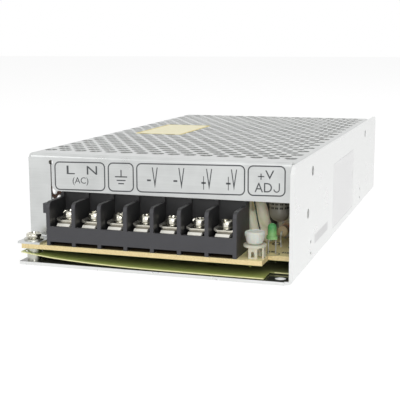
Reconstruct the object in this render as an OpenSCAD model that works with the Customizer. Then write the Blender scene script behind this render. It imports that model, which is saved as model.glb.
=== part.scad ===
// Mesh case switching power supply: a folded aluminium chassis, a perforated steel cover,
// a circuit board on standoffs and a seven way screw terminal block at the front.
// X runs across the terminals, +Y to the rear, +Z up; the origin is the centre of the underside.

/* [Case] */
// Overall width of the case
case_w = 98; // [96:1:110]
// Overall length of the case
case_l = 199; // [190:1:220]
// Overall height of the case
case_h = 38; // [37:0.5:46]
// Sheet thickness of the aluminium chassis
chassis_t = 1.2; // [1:0.1:1.6]
// Sheet thickness of the steel cover
cover_t = 0.8; // [0.6:0.1:1]
// Inside radius of every sheet bend
bend_r = 0.7; // [0.4:0.1:1]
// Straight leg that a bend shares with the sheet beside it
bend_leg = 0.5; // [0.3:0.1:0.8]
// Depth of the relief at the front end of the chassis bend
bend_relief = 0.8; // [0.5:0.1:1.2]
// Depth of the chassis left bare in front of the cover
front_ledge = 9.7; // [9.5:0.1:12]
// Depth of the chassis left bare behind the cover
rear_ledge = 15; // [12:0.5:20]
// Corner cut of the side wall
wall_chamfer = 2.4; // [1:0.2:4]
// Play between a folded sheet and its neighbour
sheet_play = 0.2; // [0.1:0.05:0.3]

/* [Cover front] */
// Width of the strip at the cover's front left
strip_w = 8.5; // [8.3:0.1:9]
// Distance of the strip from the side of the case
strip_side = 0.5; // [0.3:0.1:0.8]
// Width of the slit between the strip and the lip
lip_slit = 0.4; // [0.3:0.1:0.8]
// Radius of the lip's lower left corner
lip_corner = 2; // [1:0.2:3]
// Gap between the lip and the top of the terminal block
lip_gap = 0.7; // [0.4:0.1:1.2]
// Diameter of the relief hole at the end of the slit
relief_d = 1.6; // [1.2:0.1:2]
// Gap under the cover's left panel
panel_lift = 0.6; // [0.4:0.1:1]

/* [Mesh] */
// Diameter of the round perforations
mesh_d = 4.4; // [3:0.1:4.8]
// Distance between the perforations in a row
mesh_pitch = 5.9; // [5.4:0.1:7]
// Bare strip between the front bend and the first row of the top
mesh_front = 10.3; // [8:0.1:14]
// Bare strip between the last row and the rear bend
mesh_rear = 5; // [4:0.5:10]
// Bare strip between the left bend and the first column
mesh_side = 3.8; // [3.4:0.1:6]
// Height of the lowest perforations in the upright panels
mesh_low = 12; // [10:0.5:16]
// Bare strip between the upright panels' bend and their top row
mesh_high = 4; // [3:0.5:6]

/* [Fixings] */
// Distance of the corner holes from the sides of the case
hole_side = 4.8; // [4.4:0.1:6]
// Distance of the corner holes from the ends of the case
hole_end = 3.9; // [3.4:0.1:4.4]
// Diameter of the corner holes in the base
base_hole_d = 3.6; // [3:0.1:4.5]
// Diameter of the small case screws
screw_d = 2.9; // [2.5:0.1:3]
// Head diameter of the small case screws
head_d = 5.4; // [5:0.1:6]
// Head height of the small case screws
head_h = 2; // [1.6:0.1:2.4]
// Thickness of the washer on the tab
washer_t = 0.6; // [0.4:0.1:0.8]
// Rim that the washer shows round the screw head
washer_rim = 0.7; // [0.4:0.1:1]
// Length of thread below the board
screw_reach = 3; // [2:0.5:3.5]
// Play round a screw in a plain hole
screw_play = 0.25; // [0.15:0.05:0.4]
// Play of a thread or shaft in its bore
slip = 0.05; // [0.03:0.01:0.08]
// Depth of the cover's screw holes below the top
cover_hole_z = 5.2; // [4.6:0.1:6]
// Diameter of the holes for the cover screws
cover_hole_d = 3.4; // [3:0.1:4]
// Diameter of the tapped holes in the cover's flange
tapped_d = 2.6; // [2.4:0.1:2.8]
// Edge of the cover's flange below its tapped holes
flange_edge = 3; // [2.4:0.1:3.6]
// Distance of the front cover screw from the front
front_screw = 30.6; // [26:0.2:36]
// Distance of the rear cover screw from the rear
rear_screw = 38.7; // [34:0.1:44]
// Distance of the clip's hole from the front
clip_front = 23.6; // [22:0.2:26]
// Height of the clip's hole in the side wall
clip_z = 19.1; // [18:0.1:20]
// Distance of the front lanced bridge from the front
front_lance = 29.3; // [26:0.1:32]
// Distance of the rear lanced bridge from the rear
rear_lance = 51.7; // [48:0.1:56]
// Height of the lower slot of a lanced bridge
lance_z = 4.1; // [3.6:0.1:5]
// Distance between the two slots of a lanced bridge
lance_step = 4.1; // [3.6:0.1:4.6]
// Width of a lanced slot
lance_w = 1.4; // [1:0.1:2]
// Height of a lanced slot
lance_h = 1; // [0.8:0.1:1.4]

/* [Circuit board] */
// Thickness of the board
board_t = 1.6; // [1.2:0.1:2]
// Height of the board above the base
standoff_h = 4.6; // [4:0.1:6]
// Outer diameter of the standoffs
standoff_d = 5; // [4.4:0.1:6]
// Closed foot of a standoff
standoff_foot = 0.6; // [0.4:0.1:1]
// Gap between the board and the sheet metal round it
board_gap = 1; // [0.6:0.1:1.6]
// Width of the corner cut out over the base hole
notch_w = 7.8; // [7.6:0.1:9]
// Depth of the corner cut out over the base hole
notch_l = 8.7; // [8:0.1:10]
// Distance of the board's screws from its sides
board_hole_side = 3.3; // [3:0.1:4]
// Distance of the rear board screws from the board's rear edge
board_hole_rear = 4; // [3:0.5:6]
// Play of a lead in its hole in the board
lead_play = 0.2; // [0.1:0.05:0.3]
// How far leads reach below the board
lead_under = 1.2; // [0.8:0.1:1.5]
// Thickness of the insulating sheet
film_t = 0.4; // [0.3:0.05:0.6]
// Gap between the insulating sheet and the metal beside it
film_side = 0.6; // [0.4:0.1:1]
// Gap under the insulating sheet where it lies low
film_low = 0.3; // [0.2:0.05:0.5]
// Drop of the insulating sheet's left edge below the board
film_drop = 1.6; // [1:0.1:2]
// Room round each standoff in the insulating sheet
film_room = 0.5; // [0.4:0.1:1]

/* [Terminal block] */
// Distance between the terminals
way_pitch = 9.5; // [9.2:0.1:9.8]
// Thickness of the dividing walls
divider_t = 1.3; // [1:0.1:1.6]
// Depth of the block from front to back
block_l = 16; // [15:0.5:18]
// Height of the block above the board
block_h = 16.8; // [16.4:0.1:18]
// Thickness of the block's back wall
back_t = 3.5; // [3:0.1:4.5]
// Step between the top of the dividing walls and the back wall
back_step = 1; // [0.5:0.1:2]
// Height of the dividing walls above the board
divider_h = 15.2; // [14.8:0.1:16]
// Height of the front wall above the board
sill_h = 6.7; // [6.2:0.1:7]
// Thickness of the front wall
sill_t = 1.2; // [1:0.1:1.5]
// Gap under the block's floor, between the feet
sill_gap = 1.4; // [1:0.1:1.8]
// Depth of the step from the contact's seat down to the floor
floor_drop = 1.2; // [0.8:0.1:1.6]
// How far the block stands back from the front of the case
block_back = 0.3; // [0.2:0.1:0.6]
// How far the middle of the block lies from the middle of the case
block_shift = 3.4; // [3:0.1:4]
// Least gap between the lip's left end and the block
block_play = 1; // [0.8:0.1:1.4]
// Least width kept for the trimmer and the lamp
corner_room = 15.9; // [15:0.1:16.5]
// Thickness of the rib on the block's left end
rib_t = 1.2; // [0.8:0.1:1.6]
// Height of the rib on the block's left end
rib_h = 3.4; // [3:0.1:4]
// Depth of the rib on the block's left end
rib_l = 2.4; // [2:0.1:3]
// Distance of the screws from the front of the block
screw_back = 7.9; // [7.5:0.1:8.4]
// Width of the contact plates
contact_w = 4.8; // [4.2:0.1:5.4]
// Thickness of the contact plates
contact_t = 0.9; // [0.8:0.05:1.1]
// Rise of the contact plates above the front wall
contact_rise = 0.7; // [0.5:0.1:1]
// Gap between the front wall and the contact plates
nose_gap = 0.25; // [0.2:0.05:0.4]
// Depth of the contact plates' sloping nose
nose_l = 1.3; // [1:0.1:1.6]
// Width of a contact's pin
pin_w = 1.2; // [1:0.1:1.4]
// Thread diameter of the terminal screws
term_d = 2.9; // [2.7:0.1:3.1]
// Head diameter of the terminal screws
term_head_d = 5.5; // [5:0.1:5.8]
// Head height of the terminal screws
term_head_h = 2.3; // [2:0.1:2.6]
// Length of a terminal screw below its clamp
term_l = 5; // [4.4:0.1:5.4]
// Bore round the screw's end in the block
screw_room = 0.4; // [0.3:0.05:0.6]
// Gap between a clamp plate and the dividing walls
clamp_play = 0.4; // [0.3:0.05:0.6]
// Depth of the clamp plates
clamp_l = 6.6; // [6:0.1:7]
// Thickness of the clamp plates
clamp_t = 0.8; // [0.6:0.1:1]
// Rise of the turned up clamp wings
clamp_rise = 0.7; // [0.5:0.1:0.8]
// Flat foot of the clamp plates
clamp_flat = 4.8; // [4.6:0.1:5]

/* [Trimmer and lamp] */
// Width of the trimmer's base
trimmer_w = 8; // [7:0.1:8.4]
// Height of the trimmer's base
trimmer_h = 4.5; // [4:0.1:6]
// Gap between the block and the trimmer
trimmer_gap = 0.9; // [0.6:0.1:1.2]
// Gap between the trimmer and the front of the board
trimmer_front = 1; // [0.6:0.1:1.4]
// Rim round the top of the trimmer's base
trimmer_rim = 0.2; // [0.1:0.05:0.3]
// Diameter of the trimmer's knob
knob_d = 6.5; // [5.5:0.1:7]
// Height of the trimmer's knob
knob_h = 4; // [3:0.1:5]
// Diameter of the knob's shaft
shaft_d = 3; // [2:0.1:3.4]
// Length of the knob's shaft inside the base
shaft_l = 2; // [1.5:0.1:2.5]
// Gap between the knob and its base
knob_gap = 0.2; // [0.15:0.05:0.4]
// Diameter of the indicator lamp
lamp_d = 3; // [2.6:0.1:3.4]
// Height of the indicator lamp's tip above the board
lamp_h = 10.4; // [9:0.1:12]
// Length of the lamp's lens, its flange included
lens_l = 5.3; // [4.5:0.1:6]
// Thickness of the lamp's flange
lens_rim = 1; // [0.8:0.1:1.2]
// Distance of the lamp behind the corner cut
lamp_back = 2.4; // [2:0.1:4]
// Distance of the lamp from the side of the corner cut
lamp_side = 0.6; // [0.4:0.1:2]
// Distance of each lamp lead from the lamp's axis
lamp_lead = 1.27; // [1:0.01:1.4]
// Thickness of the lamp's leads
lead_d = 0.5; // [0.4:0.05:0.6]

/* [Mains side parts] */
// Gap between the terminal block and the parts behind it
row_gap = 3.7; // [2:0.1:6]
// Usual gap between neighbouring parts
part_gap = 2.4; // [1.6:0.1:4]
// Distance of the fuse from the board's left edge
fuse_side = 9.5; // [8:0.1:12]
// Diameter of the fuse
fuse_d = 5.2; // [5:0.1:6.3]
// Length of the fuse
fuse_l = 20; // [18:0.5:25]
// Height of the fuse's axis above the board
fuse_lift = 5.2; // [4.4:0.1:6]
// Length of a fuse clip
clip_l = 4.5; // [4:0.1:5]
// Thickness of a fuse clip
clip_t = 0.6; // [0.4:0.1:0.8]
// Diameter of the thermistor
thermistor_d = 11; // [9:0.5:13]
// Thickness of the thermistor
thermistor_t = 4; // [3:0.5:5]
// Width of the line filter capacitor
filter_w = 18; // [16:0.5:20]
// Thickness of the line filter capacitor
filter_t = 9; // [8:0.5:10]
// Height of the line filter capacitor
filter_h = 15; // [12:0.5:18]
// Width of the line choke's core
choke_w = 22; // [20:0.5:24]
// Height of the line choke's core
choke_h = 21; // [18:0.5:23]
// Thickness of the line choke's core
choke_t = 6; // [5:0.5:8]
// Width of a limb of the line choke's core
choke_limb = 5; // [4:0.2:5.6]
// Thickness of the line choke's windings
coil_t = 2.5; // [2:0.1:3]
// Play between a winding and its core
coil_play = 0.1; // [0.05:0.05:0.2]
// Distance of the line choke from the board's left edge
choke_side = 3.2; // [2.6:0.1:5]
// Length of the bridge rectifier
bridge_w = 22; // [20:0.5:24]
// Thickness of the bridge rectifier
bridge_t = 3.6; // [3.4:0.1:4.6]
// Height of the bridge rectifier's body
bridge_h = 17; // [15:0.5:18]
// Distance between the bridge rectifier's leads
bridge_pitch = 6; // [5:0.5:6.5]
// Diameter of the two mains reservoir capacitors
bulk_d = 22; // [18:0.5:23]
// Height of the two mains reservoir capacitors
bulk_h = 25; // [20:0.5:28.5]
// Distance of the reservoir capacitors from the board's left edge
bulk_side = 3; // [2:0.2:5]

/* [Output side parts] */
// Width of the transformer's core
core_w = 34; // [30:0.5:36]
// Depth of the transformer's core
core_l = 13; // [11:0.5:15]
// Height of the transformer's core
core_h = 24; // [22:0.5:28]
// Width of the outer limbs of the transformer's core
core_limb = 5.1; // [4.5:0.1:6]
// Outer diameter of the output choke's ring core
ring_d = 24; // [20:0.5:26]
// Bore of the output choke's ring core
ring_bore = 12.4; // [11:0.2:14]
// Height of the output choke's ring core
ring_h = 11; // [9:0.5:13]
// Thickness of the output choke's wire
wire_t = 1.3; // [1:0.1:1.6]
// Distance of the output choke from the board's right edge
ring_side = 5; // [4:0.2:8]
// Diameter of the output capacitors
out_cap_d = 10; // [8:0.5:10.5]
// Height of the output capacitors
out_cap_h = 22; // [16:0.5:26]
// Gap between the output capacitors
out_cap_gap = 1.6; // [1:0.1:3]
// Distance of the output capacitors from the board's right edge
out_cap_side = 3; // [2:0.1:5]
// Length of the upright heat sink
sink_l = 46; // [40:1:50]
// Height of the upright heat sink
sink_h = 24; // [20:0.5:27]
// Thickness of the heat sink's plate
sink_t = 2.5; // [2:0.1:3]
// Depth of the heat sink's fins
fin_l = 3; // [2:0.1:4]
// Thickness of the heat sink's fins
fin_t = 1.2; // [1:0.1:1.5]
// Distance of the heat sink's fins from the board's right edge
sink_side = 1; // [0.8:0.1:2]
// Width of a power package
package_w = 15.6; // [15:0.1:16]
// Height of a power package
package_h = 15.8; // [14:0.2:16]
// Thickness of a power package
package_t = 4.6; // [4.4:0.1:5]
// Free length of a power package's legs
package_leg = 2.6; // [2:0.1:3]
// Distance between a power package's legs
leg_pitch = 5.4; // [5:0.1:5.6]
// Thickness of the spring clip
spring_t = 1; // [0.8:0.1:1.2]
// Width of the spring clip
spring_w = 8; // [6:0.5:9]
// Length of the controller chip
chip_w = 19.6; // [18:0.2:21]
// Length of the optocoupler
opto_w = 4.6; // [4.4:0.1:5]
// Depth of a chip's body
chip_l = 6.4; // [6:0.1:7]
// Height of a chip's body
chip_h = 3.2; // [3:0.1:3.6]
// Gap under a chip's body
chip_lift = 0.6; // [0.4:0.1:0.8]
// Distance between a chip's pins
pin_pitch = 2.5; // [2.4:0.1:2.54]
// Length of the output resistor
resistor_l = 14; // [12:0.5:16]
// Diameter of the output resistor
resistor_d = 5.2; // [4.6:0.1:5.6]
// Distance of the output resistor's axis from the board's right edge
resistor_side = 6.6; // [6.2:0.1:8]
// Distance of the silicone bead's middle from the board's right edge
bead_side = 18; // [16:0.5:20]
// Diameter of the silicone bead's foot
bead_d = 12; // [10:0.5:13]
// Height of the silicone bead
bead_h = 10.4; // [8:0.2:12]
// Gap between the silicone bead and the output capacitors
bead_gap = 12; // [8:0.5:14]

/* [Hidden] */
$fn = 48;

left_x = -case_w / 2;
right_x = case_w / 2;
front_y = -case_l / 2;
rear_y = case_l / 2;
wall_x = right_x - chassis_t;
base_left = left_x + cover_t + sheet_play;
cover_front = front_y + front_ledge;
cover_rear = rear_y - rear_ledge;
cover_right = wall_x - sheet_play;
fold = bend_r + cover_t;
bend_z = case_h - fold;
cover_holes = [front_y + front_screw, rear_y - rear_screw];
cover_hole_up = case_h - cover_hole_z;

board_z = chassis_t + standoff_h;
board_top = board_z + board_t;
board_left = base_left + board_gap;
board_right = wall_x - board_gap;
board_rear = cover_rear - cover_t - board_gap;

// The strip and its tab at the cover's front left
strip_x = left_x + strip_side;
lip_left = strip_x + strip_w + lip_slit;
tab_z = board_top;
corner_x = case_w / 2 - hole_side;
corner_y = case_l / 2 - hole_end;
tab_hole = [-corner_x, -corner_y];

// As many ways as fit between the lip's left end and the trimmer's corner
block_half = min(-block_shift - lip_left - block_play, wall_x - corner_room + block_shift);
ways = floor((2 * block_half - divider_t) / way_pitch);
block_w = ways * way_pitch + divider_t;
block_left = -block_shift - block_w / 2;
block_right = block_left + block_w;
block_front = front_y + block_back;
block_rear = block_front + block_l;
block_top = board_top + block_h;
lip_z = block_top + lip_gap;
contact_top = board_top + sill_h + contact_rise;
plate_under = contact_top - contact_t;
nose_y = block_front + sill_t + nose_gap;
slope_l = 1.7;
screw_y = block_front + screw_back;
pin_y = block_rear - back_t - contact_t - 2 * lead_play;
clamp_w = way_pitch - divider_t - 2 * clamp_play;

trimmer_x = block_right + trimmer_gap + trimmer_w / 2;
trimmer_y = front_y + trimmer_front + trimmer_w / 2;
lamp_x = board_right - notch_w + lamp_side;
lamp_y = front_y + notch_l + lamp_back;

// Mains side, from the terminal block to the rear along the left
row_y = block_rear + row_gap;
fuse_x = board_left + fuse_side;
thermistor_x = fuse_x + fuse_d / 2 + clip_t + part_gap + thermistor_d / 2;
filter_x = thermistor_x + thermistor_d / 2 + part_gap;
coil_w = choke_limb + 2 * coil_t + 2 * coil_play;
coil_l = choke_t + 2 * coil_t + 2 * coil_play;
choke_x = board_left + choke_side + (choke_w + coil_w - choke_limb) / 2;
choke_y = row_y + fuse_l + 2 * part_gap + coil_l / 2;
front_hole_y = choke_y + coil_l / 2 + part_gap + head_d / 2;
bridge_y = front_hole_y + head_d / 2 + part_gap;
bulk_x = board_left + bulk_side + bulk_d / 2;
bulk_y = bridge_y + bridge_t + part_gap + bulk_d / 2;
bulk_step = bulk_d + part_gap;

// Output side, from the terminal block to the rear along the right
clip_y = front_y + clip_front;
bead_y = row_y + bead_d;
out_step = out_cap_d + out_cap_gap;
out_x = board_right - out_cap_side - out_cap_d / 2;
out_y = bead_y + bead_d / 2 + bead_gap + out_cap_d / 2;
out_rear_y = out_y + out_cap_d + 1;
out_caps = [[out_x - out_step, out_rear_y], [out_x, out_rear_y], [out_x - out_step / 2, out_y]];
ring_x = board_right - ring_side - wire_t - ring_d / 2;
ring_y = out_rear_y + out_cap_d / 2 + out_cap_gap + wire_t + ring_d / 2;
core_window = (core_w - 4 * core_limb) / 2;
core_x = bulk_x + bulk_d / 2 + part_gap + core_w / 2;
core_y = ring_y + ring_d / 2 + wire_t + part_gap + core_window + core_l / 2;
chip_x = core_x - 2 * part_gap;
chip_y = core_y + core_l / 2 + core_window + 3 * part_gap;
sink_x = board_right - sink_side - fin_l;
sink_y = board_rear - 2 * board_hole_rear - sink_l;
board_holes = [
  [board_right - board_hole_side, out_rear_y - (out_cap_d + head_d) / 2 - part_gap],
  [board_left + board_hole_side, front_hole_y],
  [board_left + board_hole_side, board_rear - board_hole_rear],
  [board_right - board_hole_side, board_rear - board_hole_rear]
];

function way_x(i) = block_left + divider_t / 2 + way_pitch * (i - 0.5);

// Quarter of a bent sheet, centred on the bend's axis, with a short straight leg at each end
module bend_profile(t) {
  intersection() {
    difference() {
      circle(r = bend_r + t);
      circle(r = bend_r);
    }
    translate([-2 * (bend_r + t), 0]) square(2 * (bend_r + t));
  }
  translate([-bend_r - t, -bend_leg]) square([t, bend_leg]);
  translate([0, bend_r]) square([bend_leg, t]);
}

// The bend laid along X, or along Y
module bend_x(x0, x1, t = cover_t)
  translate([x0, 0, 0]) rotate([90, 0, 90]) linear_extrude(x1 - x0) bend_profile(t);

module bend_y(y0, y1, t = cover_t)
  translate([0, y1, 0]) rotate([90, 0, 0]) linear_extrude(y1 - y0) bend_profile(t);

// Staggered round holes that fill a field of the given size from its first corner
module perforations(w, l) {
  columns = floor(w / mesh_pitch);
  row_step = mesh_pitch * sin(60);
  rows = floor(l / row_step);
  translate([(w - columns * mesh_pitch) / 2, (l - rows * row_step) / 2])
    for (row = [0:rows])
      for (column = [0:columns - row % 2])
        translate([(column + (row % 2) / 2) * mesh_pitch, row * row_step]) circle(d = mesh_d, $fn = 24);
}

// Outline in the X Z plane, given its thickness along Y from y
module upright_x(y, t) translate([0, y + t, 0]) rotate([90, 0, 0]) linear_extrude(t) children();

// Outline in the Y Z plane, given its thickness along X from x
module upright_y(x, t) translate([x, 0, 0]) rotate([90, 0, 90]) linear_extrude(t) children();

// Cross recess and slot of a combination head, cut downwards from z = 0
module driver_recess(size, depth) {
  slot_w = 0.2 * size;
  cross_l = 1.04 * size;
  cross_w = 0.32 * size;
  translate([-size, -slot_w / 2, -0.7 * depth]) cube([2 * size, slot_w, depth]);
  for (turn = [0, 90])
    rotate(turn) translate([-cross_l / 2, -cross_w / 2, -depth]) cube([cross_l, cross_w, 2 * depth]);
}

// Pan head whose seat is at z = 0
module pan_head(d, h) {
  crown = 0.35 * h;
  edge = 0.15;
  rotate_extrude() polygon(concat(
    [[0, 0], [d / 2 - edge, 0], [d / 2, edge], [d / 2, h - crown]],
    [for (a = [15:15:90]) [d / 2 - 1.2 * crown * (1 - cos(a)), h - crown + crown * sin(a)]],
    [[0, h]]));
}

// Small machine screw whose head seats at z = 0
module case_screw(l) difference() {
  union() {
    pan_head(head_d, head_h);
    translate([0, 0, -l]) cylinder(d = screw_d, h = l + bend_leg);
  }
  translate([0, 0, head_h]) driver_recess(head_d / 2, head_h / 2);
}

module rounded_box(size, r) linear_extrude(size[2]) {
  translate([r, 0]) square([size[0] - 2 * r, size[1]]);
  translate([0, r]) square([size[0], size[1] - 2 * r]);
  for (x = [r, size[0] - r]) for (y = [r, size[1] - r]) translate([x, y]) circle(r = r, $fn = 24);
}

// Radial capacitor can standing on z = 0, with the groove near its foot and a sunk lid
module can(d, h) {
  groove = 0.5;
  rim = 0.8;
  rotate_extrude() polygon([
    [0, 0], [d / 2 - groove, 0], [d / 2, groove], [d / 2, 3 * groove], [d / 2 - groove, 4 * groove],
    [d / 2, 5 * groove], [d / 2, h - rim], [d / 2 - rim, h], [d / 2 - 2 * rim, h - rim / 3], [0, h - rim / 3]
  ]);
}

// Power package standing on its three legs, its back at x = 0 and its side at y = 0
module power_package() {
  leg_w = 1.2;
  translate([0, 0, package_leg]) cube([package_t, package_w, package_h]);
  for (k = [-1:1]) translate([package_t / 2, package_w / 2 + k * leg_pitch - leg_w / 2, 0])
    cube([leg_w / 2, leg_w, package_leg + bend_leg]);
}

// Chip body with its two rows of pins, standing on z = 0
module dual_inline(w, h, pins) {
  pin_t = 0.5;
  translate([0, 0, chip_lift]) cube([w, chip_l, h]);
  for (k = [0:pins - 1]) for (y = [-pin_t, chip_l])
    translate([w / 2 + (k - (pins - 1) / 2) * pin_pitch - pin_t / 2, y, 0])
      cube([pin_t, pin_t, chip_lift + h / 2]);
}

module chassis() color("gainsboro") {
  foot = bend_r + chassis_t;
  linear_extrude(chassis_t) difference() {
    translate([base_left, front_y]) square([right_x - foot - base_left, case_l]);
    translate([right_x - foot - bend_relief, front_y - bend_relief]) square(2 * bend_relief);
    for (p = [[corner_x, -corner_y], [corner_x, corner_y], [-corner_x, corner_y]])
      translate(p) circle(d = base_hole_d);
  }
  translate([right_x - foot, 0, foot]) mirror([1, 0, 0]) mirror([0, 0, 1])
    bend_y(front_y + bend_relief, rear_y, chassis_t);
  upright_y(wall_x, chassis_t) difference() {
    polygon([
      [front_y, foot], [rear_y, foot], [rear_y, case_h - wall_chamfer], [rear_y - wall_chamfer, case_h],
      [front_y + wall_chamfer, case_h], [front_y, case_h - wall_chamfer]
    ]);
    for (y = cover_holes) translate([y, cover_hole_up]) circle(d = cover_hole_d);
    translate([clip_y, clip_z]) circle(d = cover_hole_d);
    for (y = [front_y + front_lance, rear_y - rear_lance]) for (z = [lance_z, lance_z + lance_step])
      translate([y - lance_w / 2, z - lance_h / 2]) square([lance_w, lance_h]);
  }
}

module mesh_cover() color("silver") {
  flat_x = left_x + fold;
  flat_y = cover_front + fold;
  flat_w = cover_right - fold - flat_x;
  flat_l = cover_rear - fold - flat_y;
  field_y = cover_front + mesh_front;
  field_l = cover_rear - mesh_rear - field_y;
  field_w = cover_right - left_x - 2 * mesh_side;
  field_h = bend_z - mesh_high - mesh_low;
  panel_z = chassis_t + sheet_play;
  flange_z = cover_hole_up - flange_edge;
  slit_z = bend_z - relief_d;
  strip_z = tab_z + cover_t + bend_r;
  // Top sheet
  translate([0, 0, case_h - cover_t]) linear_extrude(cover_t) difference() {
    translate([flat_x, flat_y]) square([flat_w, flat_l]);
    translate([left_x + mesh_side, field_y]) perforations(field_w, field_l);
  }
  // Left panel, right flange and rear panel with their bends
  translate([flat_x, 0, bend_z]) bend_y(flat_y, cover_rear - fold);
  upright_y(left_x, cover_t) difference() {
    translate([flat_y, panel_lift]) square([flat_l, bend_z - panel_lift]);
    translate([field_y, mesh_low]) perforations(field_l, field_h);
  }
  translate([cover_right - fold, 0, bend_z]) mirror([1, 0, 0]) bend_y(flat_y, cover_rear - fold);
  upright_y(cover_right - cover_t, cover_t) difference() {
    translate([flat_y, flange_z]) square([flat_l, bend_z - flange_z]);
    for (y = cover_holes) translate([y, cover_hole_up]) circle(d = tapped_d);
  }
  translate([0, cover_rear - fold, bend_z]) mirror([0, 1, 0]) bend_x(flat_x, cover_right - fold);
  upright_x(cover_rear - cover_t, cover_t) difference() {
    translate([flat_x, panel_z]) square([flat_w, bend_z - panel_z]);
    translate([left_x + mesh_side, mesh_low]) perforations(field_w, field_h);
  }
  // Front: a narrow strip that reaches the board and a wide lip over the terminals
  translate([0, flat_y, bend_z]) bend_x(flat_x, cover_right - fold);
  upright_x(cover_front, cover_t) difference() {
    union() {
      translate([strip_x, strip_z]) square([strip_w, bend_z - strip_z]);
      translate([strip_x, slit_z]) square([cover_right - fold - strip_x, bend_z - slit_z]);
      translate([lip_left, lip_z + lip_corner])
        square([cover_right - lip_left, bend_z - bend_leg - lip_z - lip_corner]);
      translate([lip_left + lip_corner, lip_z]) square([cover_right - lip_left - lip_corner, 2 * lip_corner]);
      translate([lip_left + lip_corner, lip_z + lip_corner]) circle(r = lip_corner);
    }
    translate([lip_left - lip_slit / 2, slit_z]) circle(d = relief_d);
  }
  // Tab folded forward over the board at the foot of the strip
  translate([0, cover_front - bend_r, strip_z]) mirror([0, 1, 0]) mirror([0, 0, 1])
    bend_x(strip_x, strip_x + strip_w);
  translate([0, 0, tab_z]) linear_extrude(cover_t) difference() {
    translate([strip_x, front_y]) square([strip_w, cover_front - bend_r - front_y]);
    translate(tab_hole) circle(d = screw_d + 2 * screw_play);
  }
}

// Bowed film: high at the left edge, sinking towards the right
module insulating_sheet() color("olivedrab", 0.8) {
  film_left = base_left + film_side;
  film_right = wall_x - film_side;
  low_z = chassis_t + film_low;
  high_z = board_z - film_drop;
  steps = 16;
  rise = [for (i = [0:steps]) [film_left + (film_right - film_left) * i / steps,
                               low_z + (high_z - low_z) * pow(1 - i / steps, 5)]];
  difference() {
    upright_x(front_y + lead_play, board_rear - front_y - lead_play)
      polygon(concat(rise, [for (i = [steps:-1:0]) rise[i] + [0, film_t]]));
    translate([board_right - notch_w + film_room, front_y - notch_l, 0])
      cube([2 * notch_w, 2 * notch_l, board_z]);
    for (p = concat([tab_hole], board_holes))
      translate([p[0], p[1], 0]) cylinder(d = standoff_d + 2 * film_room, h = board_z);
  }
}

module standoffs() color("lightgray")
  for (p = concat([tab_hole], board_holes)) translate([p[0], p[1], chassis_t]) difference() {
    cylinder(d = standoff_d, h = standoff_h);
    translate([0, 0, standoff_foot]) cylinder(d = screw_d + 2 * slip, h = standoff_h);
  }

module circuit_board() color("burlywood")
  translate([0, 0, board_z]) linear_extrude(board_t) difference() {
    translate([board_left, front_y]) square([board_right - board_left, board_rear - front_y]);
    translate([board_right - notch_w, front_y - notch_l]) square([2 * notch_w, 2 * notch_l]);
    for (p = concat([tab_hole], board_holes)) translate(p) circle(d = screw_d + 2 * screw_play);
    for (i = [1:ways]) translate([way_x(i) - pin_w / 2 - lead_play, pin_y - lead_play])
      square([pin_w + 2 * lead_play, contact_t + 2 * lead_play]);
    for (side = [-1, 1])
      translate([lamp_x + side * lamp_lead, lamp_y]) circle(d = lead_d + 2 * lead_play, $fn = 16);
  }

module tab_washer() color("silver")
  translate([tab_hole[0], tab_hole[1], tab_z + cover_t]) linear_extrude(washer_t) difference() {
    circle(d = head_d + 2 * washer_rim);
    circle(d = screw_d + 2 * screw_play);
  }

module tab_screw() color("silver")
  translate([tab_hole[0], tab_hole[1], tab_z + cover_t + washer_t]) rotate(20)
    case_screw(washer_t + cover_t + board_t + screw_reach);

module board_screws() color("silver")
  for (p = board_holes) translate([p[0], p[1], board_top]) rotate(p[1]) case_screw(board_t + screw_reach);

// Outline of a dividing wall, seen from the side and measured from the block's front and the board
module divider_outline() {
  edge = 0.5;
  wall_l = back_t + back_step;
  polygon([
    [0, 0], [block_l, 0], [block_l, block_h], [block_l - wall_l, block_h], [block_l - wall_l, divider_h],
    [3.2 * edge, divider_h], [edge, divider_h - 1.4 * edge], [0, divider_h - 3.8 * edge]
  ]);
}

module terminal_block() color([0.25, 0.25, 0.27]) translate([0, block_front, board_top]) difference() {
  seat_h = plate_under - board_top;
  floor_h = seat_h - floor_drop;
  back_y = block_l - back_t;
  seat_y = sill_t + nose_gap + slope_l + lead_play;
  slot_w = pin_w + 2 * lead_play;
  union() {
    for (i = [0:ways]) upright_y(block_left + i * way_pitch, divider_t) divider_outline();
    // Front wall, floor and back wall run the whole width
    upright_y(block_left, block_w) polygon([
      [0, sill_gap], [back_y, sill_gap], [back_y, 0], [block_l, 0], [block_l, block_h], [back_y, block_h],
      [back_y, floor_h], [sill_t, floor_h], [sill_t, sill_h], [0, sill_h]
    ]);
    for (i = [1:ways]) translate([way_x(i) - contact_w / 2, seat_y, sill_gap])
      cube([contact_w, back_y - seat_y, seat_h - sill_gap]);
    // Rib on the left end
    translate([block_left - rib_t, block_back, divider_h - rib_h - sill_t / 2])
      cube([rib_t + divider_t / 2, rib_l, rib_h]);
  }
  for (i = [1:ways]) {
    translate([way_x(i), screw_back, sill_gap + floor_drop])
      cylinder(d = term_d + 2 * screw_room, h = block_h);
    translate([way_x(i) - slot_w / 2, pin_y - block_front - lead_play, -1])
      cube([slot_w, contact_t + 2 * lead_play, seat_h + 2]);
  }
}

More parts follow.
